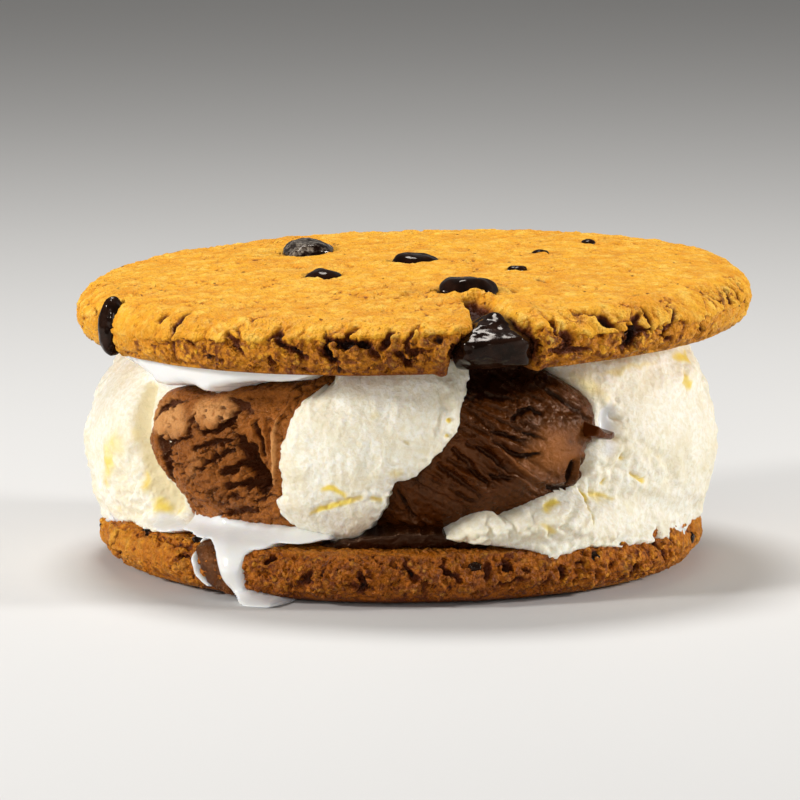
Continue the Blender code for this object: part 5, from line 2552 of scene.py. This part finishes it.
def vanilla_left() -> Scoop:
    """Describe the left vanilla scoop: smooth above, curdled below, melting under the cookie.

    Returns:
        The scoop.
    """
    front = Lobe(
        outline=(
            (-14, 42), (-15.5, 36.9), (-17.8, 35.6), (-31, 32.6), (-40, 28), (-40, 18), (-38, 12.5),
            (-41.5, 10.4), (-50.4, 9.5), (-54.9, 10.6), (-60.2, 9.5), (-84, 7.2), (-96, 7.6), (-108, 6.9),
            (-120, 7.6), (-141, 7), (-139, 20), (-142, 30), (-140, 42),
        ),
        span=(-146, -8), ball=Ball(-90, 20, 50.7, 0.0104, 0.046, 0.015), enveloped=True, drapes=True,
        lowest=5.5, edge=1.8, fall=1.3, fray=0.3, fray_size=1.6, curd=(0.85, 0.6, 0.14), step=0.29, seed=15,
        drags=(
            Clods((-52, 14, 9, 5), 1.5, 1.05, 85),
            Clods((-60, 21, 6, 4), 1.6, 0.8, 86),
        ),
        swells=mounds((-47, 12.4, 5, 3, 1.2), (-53, 20, 3, 5, -0.7), (-58, 28, 8, 5, 0.5)),
        strokes=lines(
            (
                2.4, -2.4, 0.4, (-50.4, 31.5), (-51.8, 27.5), (-51.6, 23), (-49.6, 19.8), (-46.5, 17),
                (-42.5, 15),
            ),
            (1.2, -0.6, 0.5, (-52, 30), (-49, 33), (-44, 34.4)),
            (0.8, -0.6, 0.8, (-62.4, 22), (-61, 19), (-58.6, 17.4), (-55.4, 17)),
            (0.7, -0.5, 0.8, (-56, 24), (-54.4, 21.6), (-55.4, 19.4)),
            (0.7, -0.6, 0.8, (-57, 14.6), (-53, 13.4), (-50, 14.6)),
            (0.7, -0.6, 0.8, (-100, 26), (-106, 22), (-112, 20.6)),
            (0.7, 0.5, 0.8, (-118, 30), (-122, 24), (-120, 17)),
        ),
        calms=mounds((-64, 30, 14, 6.5, 0.95), (-48.5, 31.5, 4, 3, 0.8), (-70, 25, 6, 8, 0.5)),
        wets=mounds(
            (-30, 36, 18, 2.4, 1.2), (-44, 34.6, 5, 1.8, 0.8), (-43, 11.2, 4, 2.6, 1.1),
            (-62, 9.4, 3, 2, 1), (-110, 8, 26, 2.2, 0.9), (-120, 36, 26, 2, 0.8),
        ),
        tints=lines(
            (1.8, 0.75, 0.8, (-52.2, 26.2), (-53.4, 24.8)),
            (2.8, 0.62, 1, (-59, 23.6), (-61.4, 22), (-57.6, 22.2)),
            (2.4, 0.75, 0.9, (-63, 20.4), (-62, 19), (-63.8, 17.2)),
            (1.3, 0.8, 0.8, (-52, 20.8), (-50, 17.2), (-48, 16)), (1.9, 1.1, 0.7, (-46, 15.6), (-42.4, 14)),
            (0.8, 0.45, 0.8, (-60, 12), (-57, 11.4)), (1.4, 0.8, 0.9, (-104, 20), (-110, 17)),
            (1.3, 0.7, 0.9, (-124, 26), (-127, 21)),
        ),
    )
    return Scoop(
        "vanilla_left_scoop", "vanilla_left", Slot.VANILLA, (front,),
        GrainRelief(grain_height=0.13, pit_depth=0.22),
    )


def vanilla_right() -> Scoop:
    """Describe the right vanilla scoop, whose broken foot lies over the chocolate.

    Returns:
        The scoop.
    """
    front = Lobe(
        outline=(
            (26.5, 42), (26.8, 37.8), (34.2, 32), (34.8, 28), (32.6, 25.6), (29.9, 19.3), (24.7, 18.5),
            (18.8, 15.4), (17.7, 14), (15.2, 16), (12.9, 15.9), (11.2, 15.2), (7.7, 12), (8.2, 11.3),
            (21.3, 9.7), (28, 7), (28.7, 7.9), (29.8, 7.6), (32.5, 8.9), (40.2, 8.3), (41.5, 7.3),
            (42.9, 8), (50.7, 7.5), (51.3, 8.6), (55.9, 7.1), (56.6, 7.9), (59.8, 6.2), (60.9, 6.4),
            (62, 8.3), (64, 9.4), (84, 7.2), (94, 7.8), (104, 6.6), (112, 7.8), (141, 7), (139, 20),
            (142, 30), (140, 42),
        ),
        span=(2, 146), ball=Ball(88, 20, 50.7, 0.0076, 0.019, 0.014), enveloped=True, drapes=True, lowest=5,
        edge=1.5, fall=1.2, fray=0.22, fray_size=1.2, curd=(0.75, 0.52, 0.12), step=0.26, seed=17,
        drags=(
            Clods((14, 13, 6, 3.6), 1.25, 1.15, 81),
            Clods((26, 14, 7, 4.6), 1.35, 1.15, 82),
            Clods((45, 9.4, 15, 2.2), 1.3, 0.95, 83),
            Clods((37, 21, 5, 5), 1.6, 0.75, 84),
        ),
        plates=plates(
            (
                0.75, 1, 0.4, (22.8, 17.6), (24.9, 18.9), (28.2, 18.6), (30.2, 19.4), (31.1, 18),
                (33.2, 12.4), (31.1, 11.4), (25.2, 13.6), (23, 14.8),
            ),
            (
                0.85, 1.6, 0.4, (33.9, 24.4), (35.1, 25.2), (36.9, 25.7), (39.4, 25.5), (40.8, 24.2),
                (40.3, 22.5), (34.9, 19.8), (33.6, 20.9),
            ),
        ),
        swells=mounds(
            (13.6, 13.2, 5.5, 3.2, 2), (25, 15.4, 7.5, 4.6, 3.2), (34, 12, 8, 4, 1.2), (60, 34, 5, 3, 1.6),
            (30, 35, 8, 3, 0.8), (45, 26, 6, 6, 0.5), (38.4, 28.4, 1.5, 2.6, -1.3),
            (45, 17.6, 2.6, 1.4, 0.5), (41, 19.6, 2.2, 1.6, 0.4),
        ),
        strokes=lines(
            (0.4, -1.1, 0.4, (31.2, 18.4), (33.4, 12.9)),
            (0.6, -0.9, 0.8, (17.7, 14.6), (18.6, 13.2), (18.4, 11.8)),
            (0.55, -0.7, 0.6, (33.4, 17.5), (35.4, 16.7), (38.2, 16.2)),
            (0.4, -0.8, 0.4, (43.8, 19.5), (45.6, 18.5), (47.1, 18.4)),
            (0.45, -0.7, 0.3, (40.8, 22.9), (41.4, 22.3)), (0.4, -0.5, 0.3, (36.7, 18.9), (37.1, 19.3)),
            (0.55, -0.6, 0.5, (23.4, 16.2), (24.4, 17), (25.4, 17.2)),
            (0.5, -0.5, 0.5, (23.2, 13.6), (25.5, 12.2)),
            (0.35, -0.8, 0.3, (39.6, 29.8), (40.1, 28.8), (41, 28.2)),
            (0.28, -0.6, 0.1, (40.4, 31.6), (40.6, 31.4)), (0.22, -0.5, 0.1, (42.2, 28.2), (42.4, 28.1)),
            (0.22, -0.4, 0.1, (45.6, 31.4), (45.9, 31.3)), (0.9, 0.6, 0.4, (36, 32.8), (39.8, 30.4)),
            (0.55, -0.8, 0.3, (37, 26), (42, 25.2)), (0.8, -1.6, 0.2, (50.8, 9.4), (51.8, 8.4)),
            (0.55, -1.4, 0.2, (56.9, 8), (57.1, 7.2)), (0.8, 0.5, 0.6, (47, 10.6), (53, 11.2), (58, 10.6)),
            (0.8, 0.4, 0.6, (33, 10.2), (38, 10.8), (44, 10)),
            (0.8, -0.35, 0.9, (50, 23), (54, 20), (56, 16.6)),
            (0.5, -0.6, 0.4, (57.2, 36), (57.6, 33), (60, 31)),
            (0.7, -0.6, 0.9, (92, 27), (98, 24), (104, 24.6)),
            (0.7, -0.6, 0.9, (84, 15), (90, 13.6), (97, 14.4)),
        ),
        calms=mounds(
            (47, 29, 7, 5, 0.75), (58, 26, 4, 6, 0.6), (38.4, 28.5, 2.2, 3.4, 1),
            (37.4, 23.4, 2.2, 1.8, 0.8), (80, 26, 14, 8, 0.4), (55, 11, 7, 4, 0.8),
        ),
        wets=mounds(
            (38.4, 28.4, 1.9, 3, 1.2), (44, 8, 18, 1.2, 0.45), (22, 10, 7, 1, 0.35),
            (37.4, 23.8, 2.4, 1.6, 0.6), (59, 8, 3, 1.8, 0.8), (100, 8, 26, 2.2, 0.7),
            (110, 36, 26, 2, 0.7),
        ),
        tints=lines(
            (0.5, 1, 0.3, (31.3, 18.2), (33.4, 12.7)),
            (0.8, 0.75, 0.5, (33.4, 17.4), (35.4, 16.7), (38.2, 16.3)),
            (0.5, 0.8, 0.3, (36.7, 18.9), (37, 19.3)), (0.6, 0.9, 0.3, (40.8, 22.9), (41.4, 22.4)),
            (0.5, 1, 0.3, (43.8, 19.5), (45.6, 18.4), (47.1, 18.4)),
            (0.9, 0.45, 0.5, (50.9, 21.9), (52.2, 21.9)), (0.75, 1, 0.4, (23.4, 16.3), (25.2, 17.3)),
            (0.6, 0.8, 0.4, (22.9, 14), (25.5, 12)), (1, 1, 0.4, (55.5, 37), (59, 36.2), (60, 37.4)),
            (0.8, 0.9, 0.3, (57.6, 33.8), (58.4, 32.7), (60.2, 31.6)),
            (2.2, 0.6, 0.6, (31, 35.5), (34.6, 34.2), (37, 32.6)),
            (1, 0.55, 0.8, (37, 35.3), (43.3, 36.5), (50.8, 36.6)), (1.3, 0.8, 0.9, (96, 18), (102, 16)),
            (1.3, 0.7, 0.9, (116, 28), (119, 24)),
        ),
    )
    return Scoop(
        "vanilla_right_scoop", "vanilla_right", Slot.VANILLA, (front,),
        GrainRelief(grain_height=0.12, pit_depth=0.2),
    )


def ribbon(line: Line, widths: Line) -> Line:
    """Outline a narrow run along a line on the drum.

    Args:
        line: Its middle, as azimuths and heights.
        widths: Pairs of a share of the way along and a width in millimetres.

    Returns:
        The closed outline, as azimuths and heights.
    """
    scale = np.array((Drum().per_degree, 1.0))
    middle = evened([tuple(np.array(place) * scale) for place in line], 0.5)
    way = np.gradient(middle, axis=0)
    way /= np.linalg.norm(way, axis=1)[:, None]
    shares, sizes = zip(*widths)
    half = 0.5 * np.interp(np.linspace(0.0, 1.0, len(middle)), shares, sizes)[:, None]
    aside = np.stack([-way[:, 1], way[:, 0]], 1) * half
    outline = np.vstack([middle + aside, (middle - aside)[::-1]]) / scale
    return tuple(map(tuple, outline))


def vanilla_melt() -> Scoop:
    """Describe the melted vanilla: a puddle on the lower cookie with its drips, and a film above.

    Returns:
        The melt.
    """
    soft = {"drapes": True, "lowest": 0.02, "pole": 4, "fray": 0.12, "fray_size": 2}
    puddle = Lobe(
        outline=(
            (-43.1, 13.3), (-40.3, 14.9), (-36, 13.5), (-33.2, 13.8), (-28.8, 12.9), (-17.8, 12.6),
            (-10.5, 11.7), (-17.9, 10.1), (-22.7, 10.3), (-24.3, 9.1), (-27.5, 8.6), (-28.7, 5.9),
            (-28.4, 3.3), (-27.5, 2.1), (-21.6, 0.6), (-25, -0.5), (-28, -0.5), (-29.6, 0.2), (-30.5, 2.1),
            (-32.2, 3.2), (-33.9, 5.7), (-34.8, 9.9), (-37.9, 9.6), (-40.9, 11), (-45.9, 10), (-45.4, 11.4),
        ),
        span=(-50, -7), ball=Ball(-36, 23, 46.6, 0.0062, 0.046, 0.031), proud=0.75, highest=16, edge=1.2,
        fall=0.95, step=0.22, seed=51,
        swells=mounds(
            (-31.3, 6, 1.6, 5, 0.5), (-39, 12.8, 4, 1.2, 0.3), (-26, 0.4, 4, 0.8, 0.2),
            (-26, 11.6, 6, 0.7, 0.25),
        ),
        wets=mounds((-30, 8, 60, 40, 1)), **soft,
    )
    thin = Lobe(
        outline=ribbon(
            ((-36.2, 10.6), (-38.6, 8.9), (-39.3, 7.8), (-39.2, 6.5), (-38.1, 4), (-35.7, 2.4)),
            ((0, 1.1), (0.2, 0.8), (0.8, 0.9), (1, 0.4)),
        ),
        span=(-42, -33), proud=0.7, highest=12, edge=0.6, fall=0.8, step=0.16, seed=52,
        wets=mounds((-37, 6, 60, 40, 1)), **soft,
    )
    left = Lobe(
        outline=ribbon(
            ((-68.6, 11.6), (-70.4, 10.2), (-71.4, 8.6), (-71.8, 6.5), (-70.8, 3.4)), ((0, 6), (1, 1.8)),
        ),
        span=(-79, -62), proud=1.15, highest=13, edge=0.8, fall=0.8, step=0.2, seed=53,
        wets=mounds((-70, 6, 60, 40, 1)), **soft,
    )
    far = Lobe(
        outline=(
            (150, 9.4), (166, 11), (176, 10.6), (188, 11.2), (206, 9.4), (203, 7.6), (197, 7.2),
            (193.4, 3.2), (191.8, 4.4), (190.6, 7), (184, 7.4), (176, 6.8), (172, 7.4), (168.6, 4.6),
            (167.6, 2), (168.6, 0.4), (166, -0.4), (161.6, -0.4), (160.6, 0.6), (163.2, 1.8), (163.6, 4.6),
            (162, 7), (154, 7.8),
        ),
        span=(146, 210), ball=Ball(176, 20, 45, 0.001, 0.046, 0.024), proud=0.75, highest=14, edge=1.2,
        fall=0.95, step=0.3, seed=54, swells=mounds((166, 5, 1.8, 4, 0.4)),
        wets=mounds((176, 6, 90, 40, 1)), **soft,
    )
    film = Lobe(
        outline=(
            (-74, 42), (-71, 38), (-56.4, 36.4), (-50, 34.9), (-46.5, 33.1), (-39.7, 34.3), (-35.3, 33.1),
            (-33.7, 34.2), (-26.9, 35.6), (-19.4, 35.7), (-15.6, 37), (-15, 42),
        ),
        span=(-76, -12), ball=Ball(-46, 37, 48.8, 0.004, 0, 0.09), lowest=30, pole=37.5, edge=1.1, fall=0.9,
        fray=0.12, fray_size=2, step=0.24, seed=55, wets=mounds((-36, 34, 60, 40, 1)),
        swells=mounds((-46.5, 33.4, 3, 1.2, 0.4), (-36, 33.4, 2.4, 1, 0.4)),
    )
    return Scoop(
        "vanilla_melt", "", Slot.VANILLA, (puddle, thin, left, far, film),
        GrainRelief(grain_height=0.02, pit_depth=0),
    )


def chocolate_melt_and_shade() -> Scoop:
    """Describe the melted chocolate: a strip between the drips, and a dark glossy layer on the lower cookie's
    ledge under the scoops, laid there as painted shade.

    Returns:
        The melt.
    """
    strip = Lobe(
        outline=(
            (-38.6, 9.6), (-35, 10), (-33.2, 5.5), (-30.2, 2.2), (-30.4, 1.1), (-34.5, 2.2), (-36.3, 3.4),
            (-38.4, 7.5),
        ),
        span=(-42, -27), drapes=True, lowest=0.6, pole=4, proud=0.2, highest=12, edge=0.8, fall=0.45,
        fray=0.25, fray_size=1.4, curd=(0, 0.1, 0.06), step=0.22, seed=61,
        tints=lines((2, 0.35, 1, (-36.5, 9), (-31, 1))), wets=mounds((-35, 4, 3, 6, 0.3)),
    )
    # A dark glossy layer on the ledge under the scoops, which stands for their shade; its wide furrow marks
    # it as hollow, which darkens it further as painted shade.
    foot = Lobe(
        outline=(
            (-16, 7), (-16, 10.2), (0, 12.8), (8, 12.2), (24, 9.6), (30, 7), (20, 9.1), (8, 10.1),
            (-14, 9.7),
        ),
        span=(-20, 34), ball=Ball(4, 12, 43.6, 0.003, 0.2, 0.05), lowest=7.4, highest=15, pole=12, edge=0.8,
        fall=0.6, fray=0.35, fray_size=1.6, curd=(0.2, 0.25, 0.1), step=0.26, seed=62,
        strokes=lines((2.2, -0.9, 0.3, (-16, 10.6), (2, 11.2), (26, 9.6))),
        wets=mounds((4, 11, 20, 2, 0.4)),
    )
    return Scoop(
        "chocolate_melt_and_shade", "", Slot.CHOCOLATE_ICE, (strip, foot),
        GrainRelief(grain_height=0.05, pit_depth=0.05),
    )


def big_chunks() -> Chocolate:
    """Describe the chunks and chips that have solids of their own, but for the bloomed one.

    Returns:
        The pieces.
    """
    peaked = (
        (-0.72, -0.1, 0.69, 0.65), (0.67, -0.1, 0.74, 0.78), (0, -0.64, 0.77, 0.64),
        (0.05, -1, -0.08, 0.97), (0, -0.55, -0.85, 0.98), (1, -0.25, 0.05, 1), (-1, -0.3, -0.15, 1),
        (0, 1, 0.15, 0.85), (0, 0.1, -1, 0.92), (0.8, -0.75, 0.1, 1.08), (-0.62, -0.85, 0.05, 1.02),
        (0.2, 0.7, 0.7, 0.9),
    )
    flat = ((0, 0.1, 1, 0.8), (0.1, -0.9, 0.3, 0.9), (0, 0, -1, 0.8), (-0.8, 0.1, 0.5, 0.95))
    return Chocolate(
        "chocolate_chunks",
        (
            Chunk(peaked, 71, node="chunk_front", ball=1.3, sharpness=15, lumps=0.09, rings=96),
            Chunk(flat, 72, node="chunk_middle", sharpness=18, lumps=0.08, rings=80),
            Chunk(((1, 0.3, 0, 0.9), (-0.6, -0.8, 0.2, 0.9)), 73, node="chunk_left", lumps=0.06),
            Chunk((), 74, node="chip_left", lumps=0.05), Chunk((), 75, node="chip_centre", lumps=0.06),
        ),
        GrainRelief(grain_size=2.4, grain_height=0.05, pit_size=1.8, pit_depth=0.1),
    )


def bloomed_chunk() -> Chocolate:
    """Describe the greyish chunk towards the back.

    Returns:
        The chunk.
    """
    facets = ((0, 0, 1, 0.8), (0.5, -0.8, 0.3, 0.9), (-0.8, -0.3, 0.5, 0.9))
    return Chocolate(
        "chocolate_bloomed", (Chunk(facets, 81, node="chunk_back", lumps=0.09),),
        GrainRelief(grain_size=0.8, grain_height=0.14, pit_size=1.6, pit_depth=0.2),
    )


def small_chips() -> Chocolate:
    """Describe the chips too small for solids: three on top, the rest in the lower cookie's edge.

    Returns:
        The chips.
    """
    lean, chips = Lean(), []
    for number, (across, deep, size) in enumerate(((16.8, -9.2, 1.7), (20.9, 9.6, 1.5), (29.2, 25.0, 1.3))):
        rise = TopCookie.edge / 2 + TopCookie.dome * (1.0 - (across**2 + deep**2) / TOP_RADIUS**2)
        middle = lean.laid(np.array([[across, deep, rise - 0.35]]))[0]
        half = np.array((size, 0.8 * size, 0.8))
        chips.append(Chunk((), 90 + number, tuple(middle - half), tuple(middle + half), rings=28))
    rim = (
        (-61.0, 7.6, 1.3), (-45.0, 8.0, 1.2), (39.5, 5.9, 1.5), (14.0, 6.2, 1.1), (74.0, 5.0, 1.4),
        (-86.0, 5.4, 1.1), (104.0, 6.4, 1.5), (-118.0, 5.0, 1.4), (150.0, 5.6, 1.7), (-156.0, 6.0, 1.5),
    )
    waist, bulge, half_edge = 4.56, 7.0, 4.2  # of the lower cookie's rounded side
    for number, (azimuth, height, size) in enumerate(rim):
        rounded = math.sqrt(max(0.0, 1.0 - ((height - waist) / half_edge) ** 2))
        reach = BottomCookie.foot + bulge * rounded - 0.75 * size
        middle = outward(np.array([azimuth]))[0] * reach + (AXIS, 0.0, height)
        half = size * np.array((1.0, 1.0, 0.8))
        chips.append(Chunk((), 100 + number, tuple(middle - half), tuple(middle + half), rings=28))
    return Chocolate("chocolate_chips", tuple(chips), GrainRelief(grain_height=0.06, pit_depth=0.1))


def report(piece: bpy.types.Object) -> None:
    """Say what was built."""
    LOG.info("%s: %d faces", piece.name, len(piece.data.polygons))


def main() -> None:
    """Build every piece in order, and report each."""
    logging.basicConfig(level=logging.INFO, format="%(message)s")
    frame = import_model()
    Studio().build()
    golden = CookieFinish("golden_cookie_crust").material()
    browned = CookieFinish(
        "browned_cookie_crust", crust=(0.70, 0.270, 0.012, 1), pale=(0.84, 0.42, 0.050, 1),
        amber=(0.48, 0.135, 0.003, 1), crumb=(0.46, 0.135, 0.007, 1), brown=(0.115, 0.020, 0.001, 1),
    ).material()
    for cookie, finish in ((top_cookie(), golden), (bottom_cookie(), browned)):
        piece = cookie.build(finish)
        report(piece)
        report(cookie.strew(piece, finish))
    vanilla = IceFinish("vanilla_ice").material()
    milk_chocolate = IceFinish(
        "milk_chocolate_ice", body=(0.400, 0.124, 0.016, 1), melted=(0.31, 0.085, 0.009, 1),
        tinted=(0.70, 0.330, 0.110, 1), shaded=(0.070, 0.013, 0.0012, 1), glow=0.0, shine=0.42,
        dry=0.34, glossy=0.20, grain=0.0007, glint=(1.0, 0.70, 0.44, 1), pitted=0.9, deepest=0.6,
    ).material()
    dark_chocolate_ice = IceFinish(
        "dark_chocolate_ice", body=(0.088, 0.022, 0.0022, 1), melted=(0.066, 0.014, 0.0012, 1),
        tinted=(0.300, 0.100, 0.020, 1), shaded=(0.010, 0.0018, 0.0003, 1), glow=0.0, shine=0.44,
        dry=0.20, glossy=0.05, grain=0.0005, glint=(1.0, 0.58, 0.34, 1), pitted=0.95, deepest=0.8,
    ).material()
    scoops = (name for name in frame["nodes"] if name.startswith(("chocolate_", "vanilla_")))
    envelope = Envelope(tuple(scoops))
    envelope.measure(frame)
    for scoop, finish in (
        (vanilla_left(), vanilla), (vanilla_right(), vanilla), (vanilla_middle(), vanilla),
        (chocolate_left(), milk_chocolate), (chocolate_right(), dark_chocolate_ice),
        (vanilla_melt(), vanilla), (chocolate_melt_and_shade(), dark_chocolate_ice),
    ):
        report(scoop.build(envelope, Drum(), Drape(), Lean(), finish))
    dark = ChocolateFinish("dark_chocolate").material()
    bloomed = ChocolateFinish("bloomed_chocolate", bloomed=0.24).material()
    for chocolate, finish in ((big_chunks(), dark), (bloomed_chunk(), bloomed), (small_chips(), dark)):
        report(chocolate.build(finish))


if __name__ == "__main__":
    main()
